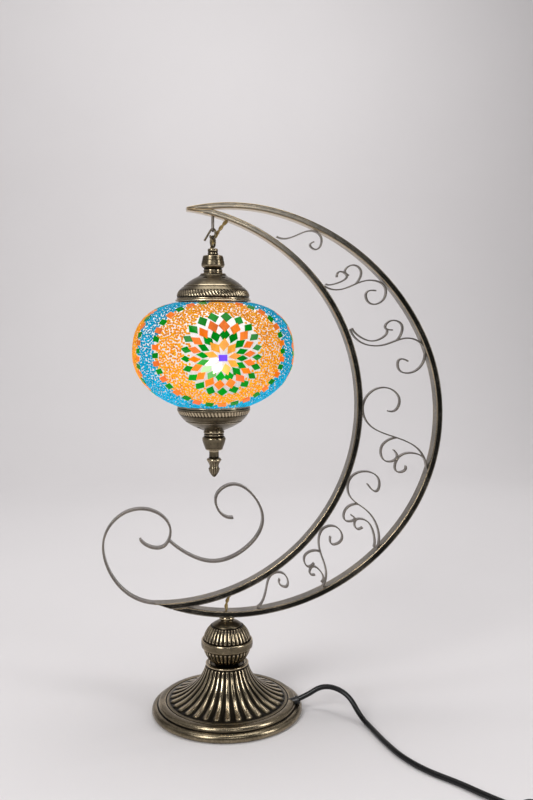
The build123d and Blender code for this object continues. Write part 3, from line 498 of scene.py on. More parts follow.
def build_caps():
    """The vase, slotted cap and gallery ring above the globe, and the parts below it."""
    vase = flow(
        [(9.5, 473.2), (9.9, 473.8), (9.9, 474.6), (9.4, 475.0)],
        [(9.4, 475.0), (9.9, 475.5), (9.9, 476.6), (9.3, 477.2)],
        [(9.3, 477.2), (9.5, 478.3), (10.6, 479.2), (11.7, 480.2), (12.15, 481.8), (12.0, 483.6)],
        [(12.0, 483.6), (11.6, 486.2)],
        [(11.6, 486.2), (11.2, 486.5), (11.3, 486.9)],
        [(11.3, 486.9), (10.6, 490.3), (10.0, 491.4), (8.4, 491.9), (5.0, 492.0)],
        [(5.0, 492.0), (5.5, 493.0), (5.4, 494.4), (4.8, 495.1)],
        [(4.8, 495.1), (5.4, 496.0), (5.4, 497.5), (4.8, 498.6), (4.2, 498.7)])
    turned("lantern_vase", "canopy_vase", vase,
           [(4.1, 498.0), (4.1, 489.6), (1.6, 489.6), (1.6, 488.0), (6.4, 488.0), (6.4, 473.2)], 96)

    top = flow(
        [(37.4, 446.0), (38.1, 446.6), (38.1, 447.6), (37.3, 448.0)],
        [(37.3, 448.0), (37.7, 449.2), (37.7, 450.6), (37.0, 452.6), (35.6, 455.2), (33.4, 457.6),
         (31.2, 459.4)],
        [(31.2, 459.4), (30.4, 459.2), (30.6, 460.2)],
        [(30.6, 460.2), (28.6, 462.0), (24.0, 465.4), (19.4, 468.2), (15.6, 470.0), (13.9, 471.4),
         (13.0, 473.0)],
        [(13.0, 473.0), (9.0, 473.2), (5.3, 473.0)])
    slots = [block((18.6, 466.0), (1.9, 4.4, 14.0), math.radians(-60 + 60 * k)) for k in range(6)]
    turned("top_cap_roped", "top_cap", top,
           [(5.3, 471.8), (12.4, 471.6), (14.6, 468.6), (21.8, 464.6), (29.0, 459.2), (30.4, 457.8),
            (34.0, 454.2), (35.8, 450.4), (36.0, 446.0)],
           CAP_STEPS, holes=slots, relief=rope_relief(448.4, 456.2, 1.3), sharp=50.0)

    gallery = flow([(36.0, 438.2), (36.0, 444.0)],
                   [(36.0, 444.0), (39.0, 444.1), (39.5, 444.7), (39.5, 445.4), (39.0, 445.95)],
                   [(39.0, 445.95), (36.0, 446.0)])
    turned("gallery_ring", "top_gallery", gallery, [(34.6, 446.0), (34.6, 438.2)], 144)

    low = flow(
        [(5.0, 309.0), (9.4, 308.9), (12.6, 309.1)],
        [(12.6, 309.1), (14.2, 309.9), (20.8, 312.9), (26.2, 315.9), (30.2, 318.5)],
        [(30.2, 318.5), (30.3, 319.6), (31.4, 319.9)],
        [(31.4, 319.9), (34.2, 323.0), (36.8, 327.0), (38.2, 330.0), (38.6, 332.4)],
        [(38.6, 332.4), (38.0, 333.2), (38.6, 333.9), (38.4, 334.8), (37.2, 335.0)],
        [(37.2, 335.0), (36.0, 335.2), (35.9, 340.0)])
    vents = [block((19.4, 313.3), (6.0, 3.6, 3.6), math.radians(-85 + 60 * k), math.pi / 4)
             for k in range(6)]
    turned("bottom_cap_roped", "bottom_cap", low,
           [(34.6, 340.0), (34.4, 333.6), (35.2, 331.0), (32.4, 324.2), (29.4, 320.2), (25.2, 317.6),
            (20.0, 314.6), (12.4, 310.5), (5.0, 310.4)],
           CAP_STEPS, holes=vents, relief=rope_relief(325.6, 331.6, 0.55), sharp=50.0)

    lower_vase = flow(
        [(5.4, 287.0), (8.4, 287.6), (9.3, 288.4)],
        [(9.3, 288.4), (9.6, 289.8), (11.0, 293.6), (12.2, 297.4), (12.5, 299.4)],
        [(12.5, 299.4), (12.2, 300.6), (11.0, 301.8), (10.3, 302.6)],
        [(10.3, 302.6), (10.7, 303.7), (10.1, 304.9)],
        [(10.1, 304.9), (10.9, 306.0), (10.8, 307.6), (10.2, 308.9)])
    turned("lower_vase", "bottom_vase", lower_vase, [(4.2, 309.0), (4.2, 287.0)], 96)

    finial = flow(
        [(0.0, 258.2), (1.2, 258.5), (3.5, 261.2), (5.3, 264.6), (5.9, 266.8)],
        [(5.9, 266.8), (6.0, 267.6), (5.3, 268.2)],
        [(5.3, 268.2), (4.9, 270.0), (5.2, 272.0), (6.4, 274.2), (7.7, 276.2)],
        [(7.7, 276.2), (7.8, 277.2), (7.0, 278.4), (5.2, 279.4)],
        [(5.2, 279.4), (5.1, 283.0), (5.2, 286.9)],
        [(5.2, 286.9), (0.0, 287.0)])

    def acorn(r, z, angle):
        """Shallow leaf lines round the acorn and its cup."""
        if not 260.5 < z < 275.5 or r < 1.0:
            return None
        leaf = abs(math.sin(7 * angle + (0.25 if z > 268 else 0.0)))
        return -0.35 * (1 - leaf) ** 2, 0.15 + 0.5 * leaf

    turned("finial_acorn", "finial", finial, [], 112, relief=acorn)


build_caps()


# ---- crescent bars
BAR_DEPTH = 15.0
BAR_THICK = 6.3
BAR_SIDE = (237.0, 320.0)
UPPER_BENDS = [(203.0, 27.0), (248.0, 48.5), (197.0, 38.0)]
LOWER_BENDS = [(202.0, 36.5), (233.0, 50.5), (211.0, 42.0)]
INNER_CENTRE = (-66.0, 331.3)
INNER_R = 207.2
INNER_OUT = INNER_R + BAR_THICK
LOW_TIP_X = -78.2  # where the ground tips end, the lower one against the curled tail
HIGH_TIP_X = -41.5
TIP_THICK = 0.8
TIP_PAINTED_SHEEN = 0.46  # painted sheen: how much brighter the bars are painted towards their upper tip, in place of the lights' reflection there


def outer_edge(bends, up, step=2.2):
    """Points and inward normals down one half of the outer bar, from its side to its tip."""
    x, z, heading = BAR_SIDE[0], 0.0, math.pi / 2
    stations = []
    for radius, sweep in bends:
        cx = x - radius * math.sin(heading)
        cz = z + radius * math.cos(heading)
        steps = max(2, round(radius * math.radians(sweep) / step))
        for k in range(steps + 1):
            a = heading + math.radians(sweep) * k / steps
            place = (cx + radius * math.sin(a), BAR_SIDE[1] + up * (cz - radius * math.cos(a)))
            stations.append((place, (-math.sin(a), up * math.cos(a))))
        heading += math.radians(sweep)
        x = cx + radius * math.sin(heading)
        z = cz - radius * math.cos(heading)
    return stations


def section(thick):
    """A bar's cross-section at a thickness: (depth, distance in, wear) points round it."""
    half = BAR_DEPTH / 2
    c = min(0.5, 0.3 * thick)
    mids = [(f, 0.0 if n % 2 else -0.16) for n, f in enumerate((0.2, 0.27, 0.34, 0.5, 0.66, 0.73, 0.8))]
    side = [(half, c, 0.55)]
    side += [(half + dent, c + (thick - 2 * c) * f, 0.06 if dent else 0.18) for f, dent in mids]
    side += [(half, thick - c, 0.75), (half - 0.3 * c, thick - 0.3 * c, 0.95), (half - c, thick, 0.8)]
    side = [(half - c, 0.0, 0.5), (half - 0.3 * c, 0.3 * c, 0.6)] + side
    across = (half - 1.8, 3.0, 0.0, -3.0, 1.8 - half)
    inside = [(u, thick, 0.5) for u in across]
    outside = [(-u, 0.0, 0.45) for u in across]
    return side + inside + [(-u, v, w) for u, v, w in reversed(side)] + outside


def sweep_bar(name, stations, replaced):
    """A flat tube along stations of (edge point, inward normal, thickness)."""
    points, wear_and_sheen = [], []
    for (x, z), (nx, nz), thick in stations:
        # Painted sheen: the colour is lightened towards the upper tip, in place of the lights' reflection
        # there.
        high, left = (z - 420) / 110, (180 - x) / 130
        painted_sheen = TIP_PAINTED_SHEEN * max(0.0, min(1.0, high)) * max(0.0, min(1.0, left))
        for u, v, worn in section(thick):
            points.append((x + nx * v, u, z + nz * v))
            wear_and_sheen.append(worn + painted_sheen)
    ring = len(section(BAR_THICK))
    obj = shape(name, points, tube_faces(range(0, len(points), ring), ring), wear_and_sheen, sharp=50.0)
    finish(obj, "frame", bar_metal, [replaced])


def room_to_inner(place, normal, radius):
    """How far in from an outer point the inner bar's circle of this radius is."""
    dx, dz = place[0] - INNER_CENTRE[0], place[1] - INNER_CENTRE[1]
    along = dx * normal[0] + dz * normal[1]
    apart = dx * dx + dz * dz - radius ** 2
    if apart <= 0:
        return 0.0
    under = along * along - apart
    return -along - math.sqrt(under) if under > 0 else 2 * BAR_THICK


def outer_thick(place, normal):
    """The outer bar's thickness: ground to a long mitre at the top tip, onto the inner bar below."""
    if place[1] < BAR_SIDE[1]:
        return min(BAR_THICK, room_to_inner(place, normal, INNER_OUT))
    both = room_to_inner(place, normal, INNER_R)
    return min(BAR_THICK, both * (0.7 - 0.2 * min(1.0, both / (2 * BAR_THICK))))


def build_bars():
    """The two bars of the crescent, ground to a point where they meet."""
    upper = outer_edge(UPPER_BENDS, 1)
    lower = outer_edge(LOWER_BENDS, -1)
    edge = list(reversed(lower)) + upper[1:]
    stations = [(place, normal, outer_thick(place, normal)) for place, normal in edge]
    kept = [s for s in stations if s[2] > 0.12 and (s[0][0] > HIGH_TIP_X or s[0][1] < BAR_SIDE[1])]
    sweep_bar("outer_bar_ridged", kept, "outer_bar")
    rim = [place for place, _ in edge]
    mitre = [(x + nx * thick, z + nz * thick)
             for (x, z), (nx, nz), thick in stations if z > BAR_SIDE[1]]

    stations = []
    for x, z in arc(INNER_CENTRE, INNER_R, -100.0, 100.0, 420):
        out = ((x - INNER_CENTRE[0]) / INNER_R, (z - INNER_CENTRE[1]) / INNER_R)
        limit, tip_x = (rim, LOW_TIP_X) if out[1] < 0 else (mitre, HIGH_TIP_X)
        thick = min(BAR_THICK, max(TIP_THICK, room_to_line((x, z), out, limit)))
        if x > tip_x:
            stations.append(((x + out[0] * thick, z + out[1] * thick), (-out[0], -out[1]), thick))
    sweep_bar("inner_bar_ridged", stations, "inner_bar")


def room_to_line(place, out, line):
    """How far out from a point of the inner bar a line along the outer bar is."""
    best = 0.0
    for p, q in zip(line, line[1:]):
        ax, az = p[0] - place[0], p[1] - place[1]
        bx, bz = q[0] - p[0], q[1] - p[1]
        cross = out[0] * bz - out[1] * bx
        if abs(cross) < 1e-9:
            continue
        reach = (ax * bz - az * bx) / cross
        part = (ax * out[1] - az * out[0]) / cross
        if reach > 0 and -0.001 <= part <= 1.001:
            best = reach
    return best


build_bars()


# ---- frame nodes that stay
def dress(nodes, material):
    """Gives frame nodes that keep their own shape a better material."""
    for name in nodes:
        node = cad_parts[name]
        node.data.materials.clear()
        node.data.materials.append(material)


scrolls = [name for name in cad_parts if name.startswith(("scroll_", "tail_"))]
dress([*scrolls, "tip_eye"], strip_metal)
dress(["hang_hook", "lantern_loop"], bronze_cad)
dress(["hollow_rod", "base_washer", "rod_nut", "harp", "bulb_cap", "plug_pins", "finial_stud"], steel)
dress(["base_weight"], iron)
dress(["lamp_socket", "socket_ring", "terminal_block"], holder_plastic)
dress(["cord_bush", "switch_lower", "switch_upper", "switch_rocker", "plug_body"], black_plastic)
dress(["wire_arch"], wire_pvc)


# ---- lamp wire and felt
TWIST = 14.0  # the length in which the two strands go round each other once
STRAND_SIDES = 9


def add_spline(curve, route):
    """Gives a curve one smooth open line, steered by a route's points."""
    curve.dimensions = "3D"
    spline = curve.splines.new("NURBS")
    spline.points.add(len(route) - 1)
    for point, place in zip(spline.points, route):
        point.co = (*place, 1.0)
    spline.order_u = 3
    spline.use_endpoint_u = True


def smooth_line(route):
    """Points along the smooth line of a route in millimetres."""
    curve = bpy.data.curves.new("line", "CURVE")
    curve.resolution_u = 14
    add_spline(curve, route)
    holder = bpy.data.objects.new("line", curve)
    mesh = bpy.data.meshes.new_from_object(holder)
    line = [v.co.copy() for v in mesh.vertices]
    bpy.data.objects.remove(holder)
    bpy.data.meshes.remove(mesh)
    return line


def twisted_pair(name, route, strand):
    """Two insulated strands of this radius, twisted together along a route."""
    line = smooth_line(route)
    side = (line[1] - line[0]).orthogonal().normalized()
    points, run = [], 0.0
    for i, place in enumerate(line):
        along = (line[min(i + 1, len(line) - 1)] - line[max(i - 1, 0)]).normalized()
        side = (side - along * side.dot(along)).normalized()
        up = along.cross(side)
        if i:
            run += (place - line[i - 1]).length
        for turn in (0.0, math.pi):
            a = TAU * run / TWIST + turn
            centre = place + (side * math.cos(a) + up * math.sin(a)) * strand
            for k in range(STRAND_SIDES):
                b = TAU * k / STRAND_SIDES
                points.append(centre + (side * math.cos(b) + up * math.sin(b)) * strand)
    ring = 2 * STRAND_SIDES
    faces = [face for start in (0, STRAND_SIDES)
             for face in tube_faces(range(start, len(points), ring), STRAND_SIDES)]
    return shape(name, points, faces, sharp=60.0)


def build_wires():
    """The lamp wire where it shows: above the base, and down past the hook."""
    riser = twisted_pair("lamp_wire_riser", [
        (34.0, -7.5, 12.5), (32.0, -7.0, 24.0), (14.0, -3.2, 26.5), (0.4, 0.0, 33.0), (-0.6, 0.0, 76.0),
        (0.0, 0.0, 104.0), (-0.6, 0.0, 112.0), (-0.9, -0.4, 119.0), (1.2, -0.4, 125.0),
        (5.0, 0.0, 132.0)], 1.0)
    finish(riser, "frame", wire_pvc, ["wire_base"])
    upper = [(3.9, 0.0, 528.7), (-0.6, 0.8, 525.6), (-5.4, 4.6, 519.0), (-8.6, 6.5, 514.2)]
    lower = [(-8.6, 6.5, 514.2), (-10.3, 6.7, 510.5), (-12.9, 5.0, 504.5), (-13.8, 2.6, 499.0),
             (-14.2, 2.3, 491.0)]
    drop = [  # name, route, the bodies it joins, where it starts and where it stops bending
        ("lamp_wire_upper", upper, ("frame", "hook"), (0.0039, 0.0, 0.5287), (-0.0075, 0.0055, 0.5165)),
        ("lamp_wire_lower", lower, ("hook", "lantern"), (-0.0092, 0.0065, 0.5142), (-0.015, 0.003, 0.501)),
    ]
    for name, route, bodies, start, end in drop:
        wire = twisted_pair(name, route, 1.05)
        wire.data.materials.append(wire_pvc)
        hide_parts("wire_drop")
        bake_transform(wire)


def build_felt():
    """The felt disc under the base, with a soft rounded edge."""
    outer = flow([(0.0, 0.0), (60.0, 0.0), (76.4, 0.0)],
                 [(76.4, 0.0), (77.3, 0.4), (77.5, 1.0), (77.3, 1.7), (76.8, 2.0)],
                 [(76.8, 2.0), (40.0, 2.0), (0.0, 2.0)])
    pad = lathe("felt_disc", outer, [], 180)
    finish(pad, "frame", felt, ["felt_pad"])


build_wires()
build_felt()


# ---- globe
GLOBE_Z = 389.0
GLOBE_R = 85.0
GLOBE_H = 61.0
UPRIGHT_R = 71.6  # how strongly the globe's middle is curved up and down
GROUT_DEPTH = 0.95
GROUT_THICK = 1.0
GROUT_END_R = 36.5
CAP_EDGE_R = 39.6
SHOULDER = 0.06  # how much the blown globe is fuller than an ellipse above its middle
FACING = math.radians(1.0)  # the first medallion's turn from the front
MEDALLIONS = [FACING + k * TAU / 3 for k in range(3)]
EDGE_TILES = 36
EDGE_REACH = 72.5
ROSE_TALL = 1.26  # a rosette is taller than wide, so that it looks round on the flat globe
RISE = 0.07  # each ring sits this much of its reach higher than the centre
RINGS = [  # number, distance out, length, width, colour
    (9, 11.6, 13.0, 8.6, "amber"),
    (16, 19.6, 13.0, 8.6, "green"),
    (18, 27.6, 12.8, 9.4, "orange"),
    (21, 36.2, 11.6, 9.6, "green"),
]
TINTS = {
    "amber": (1.0, 0.40, 0.06),
    "orange": (0.95, 0.20, 0.022),
    "green": (0.0, 0.25, 0.010),
    "violet": (0.16, 0.05, 0.80),
    "seed_orange": (1.0, 0.35, 0.012),
    "seed_blue": (0.0, 0.36, 0.60),
}
TILE_SPREAD = 0.14  # how much lighter or darker than its tint a piece may be
BEAD_SPREAD = 0.25
TILE_SUNK = 0.22  # every second ring lies this much deeper, so that no tiles poke through others
TILE_FACES = [(8, 9, 10, 11), (3, 2, 1, 0), *band_faces([0, 4, 8], 4)]
BEAD_SIDES = 6
BEAD_PITCH = 2.25
BEAD_TIP = 2 * BEAD_SIDES
BEAD_FACES = [tuple(reversed(range(BEAD_SIDES))), *band_faces([0, BEAD_SIDES], BEAD_SIDES)]
BEAD_FACES += [(a, b, BEAD_TIP) for _, _, b, a in band_faces([0, BEAD_SIDES], BEAD_SIDES)]
dice = random.Random(11)


def on_globe(direction, depth=0.0):
    """The point under the globe's surface along a unit direction from its centre."""
    dx, dy, dz = direction
    nx, ny, nz = dx / GLOBE_R, dy / GLOBE_R, dz / GLOBE_H
    size = math.sqrt(nx * nx + ny * ny + nz * nz)
    share = min(1.0, dz * dz / 0.80) if dz > 0 else 0.0
    full = 1 + SHOULDER * 4 * share * (1 - share)
    return (LANTERN_X + GLOBE_R * full * dx - depth * nx / size,
            GLOBE_R * full * dy - depth * ny / size,
            GLOBE_Z + GLOBE_H * full * dz - depth * nz / size)


def curve_radius(side, up):
    """The radius by which an angle becomes a reach this much sideways and up."""
    return math.sqrt((GLOBE_R * side) ** 2 + (UPRIGHT_R * up) ** 2)


def medallion_direction(turn, x, y):
    """The direction of a place x to the right and y above a medallion's centre."""
    reach = math.hypot(x, y)
    if reach < 1e-6:
        return (math.sin(turn), -math.cos(turn), 0.0)
    side, up = x / reach, y / reach
    swing = reach / curve_radius(side, up)
    f, r = math.cos(swing), math.sin(swing) * side
    return (f * math.sin(turn) + r * math.cos(turn),
            -f * math.cos(turn) + r * math.sin(turn),
            math.sin(swing) * up)


def medallion_place(turn, direction):
    """The place (x, y) on a medallion of a direction: the opposite of the above."""
    dx, dy, dz = direction
    f = dx * math.sin(turn) - dy * math.cos(turn)
    r = dx * math.cos(turn) + dy * math.sin(turn)
    swing = math.acos(max(-1.0, min(1.0, f)))
    level = math.hypot(r, dz) or 1.0
    side, up = r / level, dz / level
    reach = swing * curve_radius(side, up)
    return reach * side, reach * up


def glow_at(direction):
    """How brightly the lamp inside lights a place: more low down, most by the bulb."""
    glow = 0.66 - 0.34 * direction[2]
    for turn in MEDALLIONS:
        x, y = medallion_place(turn, direction)
        glow += 2.6 * math.exp(-((x + 8.0) ** 2 + (y + 9.0) ** 2) / 60.0)
        glow += 0.55 * math.exp(-((x + 10.0) ** 2 + (y + 14.0) ** 2) / 700.0)
    return glow


class Heap:
    """Many small pieces of glass gathered into one mesh."""

    def __init__(self):
        self.points = []
        self.faces = []
        self.tint = []
        self.glow = []

    def add(self, points, faces, tint, glow):
        start = len(self.points)
        self.points.extend(points)
        self.faces.extend(tuple(start + k for k in face) for face in faces)
        self.tint.extend([tint] * len(points))
        self.glow.extend([glow] * len(points))

    def build(self, name, material, sharp):
        obj = shape(name, self.points, self.faces, sharp=sharp)
        colours = obj.data.attributes.new("tint", "FLOAT_COLOR", "POINT")
        colours.data.foreach_set("color", [v for c in self.tint for v in (*c, 1.0)])
        obj.data.attributes.new("glow", "FLOAT", "POINT").data.foreach_set("value", self.glow)
        return finish(obj, "lantern", material, ["mosaic_skin"])


def varied(tint, spread):
    """A colour a little lighter or darker than the tint, as hand-cut glass is."""
    level = 1 + dice.uniform(-spread, spread)
    return tuple(min(1.0, c * level + dice.uniform(-0.02, 0.02) * (c > 0.02)) for c in tint)


def add_tile(heap, turn, corners, tint, sunk=0.0):
    """One flat glass tile with a ground edge, from its corners on a medallion."""
    cx, cy = middle(corners)
    points = []
    for depth, shrink in ((1.5, 1.0), (0.42 + sunk, 1.0), (0.08 + sunk, 0.90)):
        for x, y in corners:
            place = (cx + (x - cx) * shrink, cy + (y - cy) * shrink)
            points.append(on_globe(medallion_direction(turn, *place), depth))
    direction = medallion_direction(turn, cx, cy)
    heap.add(points, TILE_FACES, varied(TINTS[tint], TILE_SPREAD), glow_at(direction))


def middle(corners):
    """The middle of a tile's corners."""
    return sum(x for x, _ in corners) / len(corners), sum(y for _, y in corners) / len(corners)


def rhombus(reach, angle, length, width):
    """Corners of a hand-cut lozenge that points away from the middle."""
    lean = dice.uniform(-0.9, 0.9)
    reach += dice.uniform(-0.4, 0.4)
    angle += dice.uniform(-0.012, 0.012)
    cx = reach * math.cos(angle)
    cy = reach * ROSE_TALL * math.sin(angle) + RISE * reach
    spin = math.atan2(cy, cx) + dice.uniform(-0.07, 0.07)
    length *= 1 + (ROSE_TALL - 1) * abs(math.sin(angle)) * 0.7
    long_half = length / 2 * dice.uniform(0.93, 1.04)
    wide_half = width / 2 * dice.uniform(0.92, 1.04)
    local = [(long_half, lean * 0.3), (lean, wide_half), (-long_half, -lean * 0.3), (-lean, -wide_half)]
    return [(cx + a * math.cos(spin) - b * math.sin(spin), cy + a * math.sin(spin) + b * math.cos(spin))
            for a, b in local]


def medallion_tiles(heap, turn):
    """The rosette and the border of one medallion. Returns its tiles' places and radii."""
    taken = [(0.0, 0.0, 6.4)]
    add_tile(heap, turn, [(-3.9, -3.9), (3.9, -3.9), (3.9, 3.9), (-3.9, 3.9)], "violet")
    for ring, (count, reach, length, width, tint) in enumerate(RINGS):
        for k in range(count):
            angle = TAU * (k + 0.5 * (ring % 2)) / count + 0.10
            corners = rhombus(reach, angle, length, width)
            add_tile(heap, turn, corners, tint, TILE_SUNK * (ring % 2))
            taken.append((*middle(corners), 0.5 * min(length, width) + 0.9))
    for k in range(EDGE_TILES):
        angle = TAU * k / EDGE_TILES + 0.04
        reach = EDGE_REACH + dice.uniform(-0.6, 0.6)
        green = k % 2 == 0
        corners = edge_tile(reach, angle, 7.8 if green else 8.6, 9.2 if green else 9.6)
        x, y = middle(corners)
        direction = medallion_direction(turn, x, y)
        if math.hypot(direction[0], direction[1]) * GLOBE_R < CAP_EDGE_R + 2.0:
            continue
        add_tile(heap, turn, corners, "green" if green else "orange")
        taken.append((x, y, 5.2))
    return taken


def edge_tile(reach, angle, width, height):
    """Corners of a border tile, a leaning square across the border's line."""
    lean = dice.uniform(0.4, 1.6)
    spin = angle + dice.uniform(-0.06, 0.06)
    local = [(width / 2, height / 2 + lean - 1), (-width / 2, height / 2 - lean + 1),
             (-width / 2, -height / 2 - lean + 1), (width / 2, -height / 2 + lean - 1)]
    cx, cy = reach * math.cos(angle), reach * (math.sin(angle) + RISE)
    return [(cx + a * math.cos(spin) - b * math.sin(spin) * 0.86,
             cy + a * math.sin(spin) + b * math.cos(spin) * 0.86) for a, b in local]


def add_bead(heap, direction, tint):
    """One small rounded chip of glass, half sunk in the grout."""
    x, y, z = on_globe(direction)
    out = Vector((direction[0] / GLOBE_R, direction[1] / GLOBE_R, direction[2] / GLOBE_H)).normalized()
    side = out.cross(Vector((0, 0, 1))).normalized()
    up = side.cross(out)
    start = dice.uniform(0, TAU)
    size = BEAD_PITCH * dice.uniform(0.55, 0.70)
    stretch = dice.uniform(0.8, 1.25)
    points = []
    for depth, share in ((1.05, 1.0), (0.45, 0.86)):
        for k in range(BEAD_SIDES):
            a = start + TAU * k / BEAD_SIDES
            u, v = size * share * stretch * math.cos(a), size * share / stretch * math.sin(a)
            offset = side * u + up * v - out * depth
            points.append((x + offset.x, y + offset.y, z + offset.z))
    tip = out * 0.15
    points.append((x - tip.x, y - tip.y, z - tip.z))
    heap.add(points, BEAD_FACES, varied(tint, BEAD_SPREAD), glow_at(direction))


def scatter():
    """Random directions at least a bead's pitch apart, evenly over the globe's surface."""
    kept, cells = [], {}
    limit = BEAD_PITCH * 0.92
    for _ in range(110000):
        z = dice.uniform(-0.89, 0.89)
        turn = dice.uniform(0, TAU)
        level = math.sqrt(1 - z * z)
        if level * GLOBE_R < CAP_EDGE_R + 0.6:
            continue
        direction = (level * math.cos(turn), level * math.sin(turn), z)
        point = on_globe(direction)
        cell = tuple(int(c // limit) for c in point)
        near = (other for a in (-1, 0, 1) for b in (-1, 0, 1) for c in (-1, 0, 1)
                for other in cells.get((cell[0] + a, cell[1] + b, cell[2] + c), ()))
        if any(math.dist(point, other) < limit for other in near):
            continue
        cells.setdefault(cell, []).append(point)
        kept.append(direction)
    return kept


def glass_material(name, streak, rough):
    """Lit coloured glass: the tint glows where the lamp inside reaches it."""
    n = Nodes(name)
    tint = n.attribute("tint").outputs["Color"]
    glow = n.attribute("glow").outputs["Fac"]
    streaks = n.noise(*streak)
    tone = n.ramp(streaks, [(0.25, 0.72), (0.75, 1.12)])
    tinted = n.mix(1.0, tint, tone, "MULTIPLY")
    n.join(n.mix(1.0, tinted, (0.45, 0.45, 0.45), "MULTIPLY"), n.shader.inputs["Base Color"])
    hot = n.ramp(n.maths("MULTIPLY", glow, 0.25), [(0.34, 0.0), (0.75, 1.0)])
    lit = n.mix(hot, tinted, (1.0, 0.93, 0.72))
    scale = n.add("VectorMath", operation="SCALE")
    n.join(lit, scale.inputs[0])
    n.join(glow, scale.inputs["Scale"])
    n.join(scale.outputs[0], n.shader.inputs["Emission Color"])
    n.set(Emission_Strength=1.0, Roughness=rough, Specular_IOR_Level=0.07)
    n.bump(streaks, 0.12, 0.0004)
    return n.owner


def grout_material():
    """White grout, a little translucent, with a sandy surface and a faint painted glow in place of the
    lamp's light shining through it.
    """
    n = Nodes("grout")
    sand = n.noise(700.0, 4.0, 0.7)
    n.drive("Base Color", sand, [(0.3, (0.70, 0.66, 0.64)), (0.7, (0.93, 0.90, 0.88))])
    # Painted glow: a faint emission stands for the lamp's light coming through the grout.
    n.drive("Emission Color", sand, [(0.3, (0.80, 0.72, 0.66)), (0.7, (1.0, 0.92, 0.86))])
    n.set(Emission_Strength=0.10, Roughness=0.75)
    n.bump(sand, 0.4, 0.0004)
    return n.owner


def build_globe():
    """The mosaic: grout, three medallions of tiles, and seed beads between them."""
    half = math.degrees(math.acos(GROUT_END_R / GLOBE_R))
    rows = [on_globe((out, 0.0, up), GROUT_DEPTH) for out, up in arc((0, 0), 1.0, -half, half, 90)]
    outer = [(x - LANTERN_X, z) for x, _, z in rows]
    inner = [(r - GROUT_THICK * r / GLOBE_R, z - GROUT_THICK * (z - GLOBE_Z) / GLOBE_H)
             for r, z in reversed(outer)]
    grout = lathe("grout", outer, inner, 180, LANTERN_X)
    finish(grout, "lantern", grout_material(), ["mosaic_skin"])

    tile_glass = glass_material("tile_glass", (210.0, 4.0, 0.6, (1, 1, 0.25)), 0.16)
    bead_glass = glass_material("bead_glass", (600.0, 2.0), 0.14)
    covered = []
    for number, turn in enumerate(MEDALLIONS):
        heap = Heap()
        covered.append(medallion_tiles(heap, turn))
        heap.build(f"medallion_tiles_{number + 1}", tile_glass, 30.0)
    heaps = {}
    for direction in scatter():
        zone, number = bead_zone(direction, covered)
        if zone is None:
            continue
        heap = heaps.setdefault((zone, number), Heap())
        add_bead(heap, direction, TINTS[zone])
    for (zone, number), heap in sorted(heaps.items()):
        heap.build(f"{zone}_beads_{number + 1}", bead_glass, 80.0)


def bead_zone(direction, covered):
    """The colour and medallion of a bead at a direction, or None where a tile lies."""
    reaches = [medallion_place(turn, direction) for turn in MEDALLIONS]
    number = min(range(3), key=lambda k: math.hypot(*reaches[k]))
    x, y = reaches[number]
    for tx, ty, radius in covered[number]:
        if (x - tx) ** 2 + (y - ty) ** 2 < radius * radius:
            return None, number
    if math.hypot(x, (y - 2.5) / ROSE_TALL) < 33.0:
        return None, number
    inside = math.hypot(x, y - RISE * EDGE_REACH) < EDGE_REACH
    return ("seed_orange" if inside else "seed_blue"), number


build_globe()


def lit_bulb():
    """The bulb's glass, which glows."""
    n = Nodes("lit_bulb")
    n.drive("Emission Color", n.noise(60.0), [(0.3, (1.0, 0.80, 0.50)), (0.7, (1.0, 0.88, 0.64))])
    n.set(Emission_Strength=60.0, Roughness=0.3)
    return n.owner


def clear_glass():
    """The blown globe that carries the mosaic."""
    n = Nodes("clear_glass")
    n.drive("Base Color", n.noise(25.0), [(0.3, (0.90, 0.93, 0.91)), (0.7, (0.97, 0.98, 0.97))])
    n.set(Transmission_Weight=1.0, Roughness=0.05, IOR=1.5)
    n.bump(n.noise(40.0), 0.1, 0.0004)
    return n.owner


dress(["bulb_glass"], lit_bulb())
dress(["globe_glass"], clear_glass())


# ---- mains cord
def cord_line():
    """The mains cord's route from the base to the plug, with its coil."""
    route = [
        (66.76, -14.68, 10.01), (82.6, -17.9, 16.8), (103.6, -19.1, 30.2), (127.6, -29.4, 23.4),
        (137.0, -50.5, 5.0), (143.0, -75.0, 2.9), (148.0, -105.0, 2.9), (155.5, -136.0, 2.9),
        (171.0, -166.0, 2.9), (193.0, -191.0, 2.9), (211.0, -219.0, 3.4), (228.8, -244.9, 5.2),
        (244.5, -268.1, 5.2), (260.1, -291.3, 5.2), (268.5, -303.8, 4.2), (276.6, -324.0, 3.1),
    ]
    turns = [(38.2, 2.9), (32.5, 2.9), (26.8, 2.9), (26.8, 8.6), (32.5, 8.6), (38.2, 8.6)]
    per_turn = 14
    count = round(6.5 * per_turn)
    for k in range(count + 1):
        part = k / count * (len(turns) - 1)
        first = min(int(part), len(turns) - 2)
        share = part - first
        radius = turns[first][0] * (1 - share) + turns[first + 1][0] * share
        height = turns[first][1] * (1 - share) + turns[first + 1][1] * share
        angle = -TAU * k / per_turn
        route.append((240.0 + radius * math.cos(angle), -345.0 + radius * math.sin(angle), height))
    return route + [(201.6, -330.0, 8.0), (200.8, -315.0, 7.2)]


def build_cord():
    """The cord with its coil."""
    curve = bpy.data.curves.new("mains_flex", "CURVE")
    curve.bevel_depth = 2.8 * MM
    curve.bevel_resolution = 5
    curve.resolution_u = 6
    route = [[c * MM for c in point] for point in cord_line()]
    add_spline(curve, route)
    flex = bpy.data.objects.new("mains_flex", curve)
    finish(flex, "frame", cord_pvc, ["mains_cord", "cord_coil"])


build_cord()


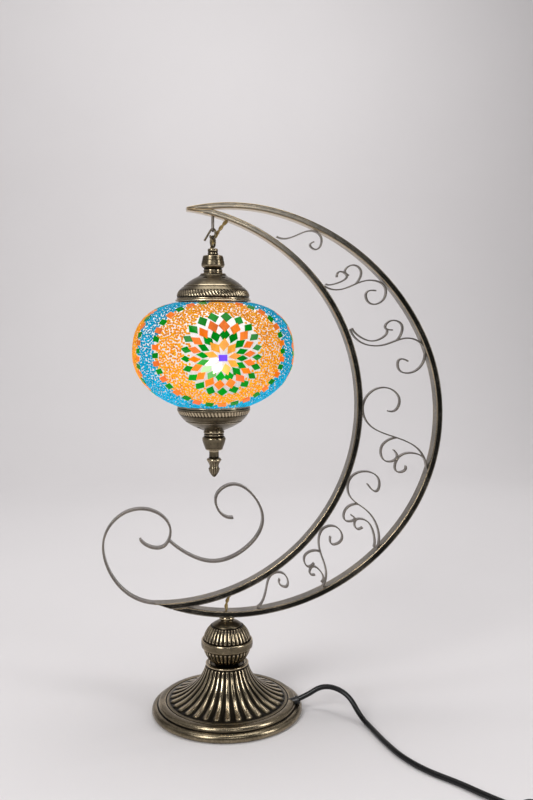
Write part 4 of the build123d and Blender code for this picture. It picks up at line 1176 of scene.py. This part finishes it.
# ---- room
def dim_front():
    """Surroundings that reflect pale behind the lamp and dark in front, and look pale themselves."""
    n = Nodes("world", bpy.data.worlds, "Background")
    parts = n.add("SeparateXYZ")
    n.join(n.add("TexCoord").outputs["Generated"], parts.inputs["Vector"])
    level = n.add("MapRange", From_Min=-1.0)
    n.join(parts.outputs["Y"], level.inputs["Value"])
    tone = n.ramp(level.outputs["Result"], [(0.30, (0.04, 0.04, 0.042)), (0.62, (0.74, 0.73, 0.74))])
    seen = n.mix(n.add("LightPath").outputs["Is Camera Ray"], tone, (1.15, 1.12, 1.13))
    n.join(seen, n.shader.inputs["Color"])
    n.set(Strength=0.55)
    bpy.context.scene.world = n.owner


def build_room():
    """A pale seamless floor and backdrop, with soft light from both sides and above."""
    n = Nodes("paper")
    n.drive("Base Color", n.noise(2.0), [(0.3, (0.70, 0.675, 0.68)), (0.7, (0.72, 0.695, 0.70))])
    n.set(Roughness=0.9)
    line = [(-4.0, 0.0), *arc((1.3, 0.9), 0.9, -90.0, 0.0, 16), (2.2, 4.0)]
    points = [(x / MM, y / MM, z / MM) for y, z in line for x in (-5.0, 5.0)]
    faces = [(2 * k, 2 * k + 1, 2 * k + 3, 2 * k + 2) for k in range(len(line) - 1)]
    backdrop = shape("backdrop", points, faces, sharp=60.0)
    backdrop.data.materials.append(n.owner)

    dim_front()
    lamps = [  # place, size, power, aimed at
        ("key", (-1.1, -1.3, 1.25), (0.6, 1.2), 22.0, (0.0, 0.0, 0.25)),
        ("fill", (1.5, -0.9, 0.9), (0.35, 1.2), 11.0, (0.0, 0.0, 0.25)),
        ("front", (0.14, -1.35, 0.80), (0.5, 0.25), 1.8, (0.0, 0.0, 0.5)),
        ("top", (0.0, 0.25, 2.3), (1.9, 1.4), 28.0, (-0.05, 1.3, 0.3)),
        ("back", (0.4, 0.9, 1.5), (1.2, 0.5), 6.2, (0.15, 2.1, 0.4)),
    ]
    for name, place, size, power, aim in lamps:
        light = bpy.data.lights.new(name, "AREA")
        light.shape = "RECTANGLE"
        light.size, light.size_y = size
        light.energy = power
        lamp = bpy.data.objects.new(name, light)
        lamp.location = place
        lamp.rotation_euler = (Vector(aim) - Vector(place)).to_track_quat("-Z", "Y").to_euler()
        bpy.context.collection.objects.link(lamp)


build_room()
bpy.context.scene.view_settings.view_transform = "Standard"
bpy.context.view_layer.update()
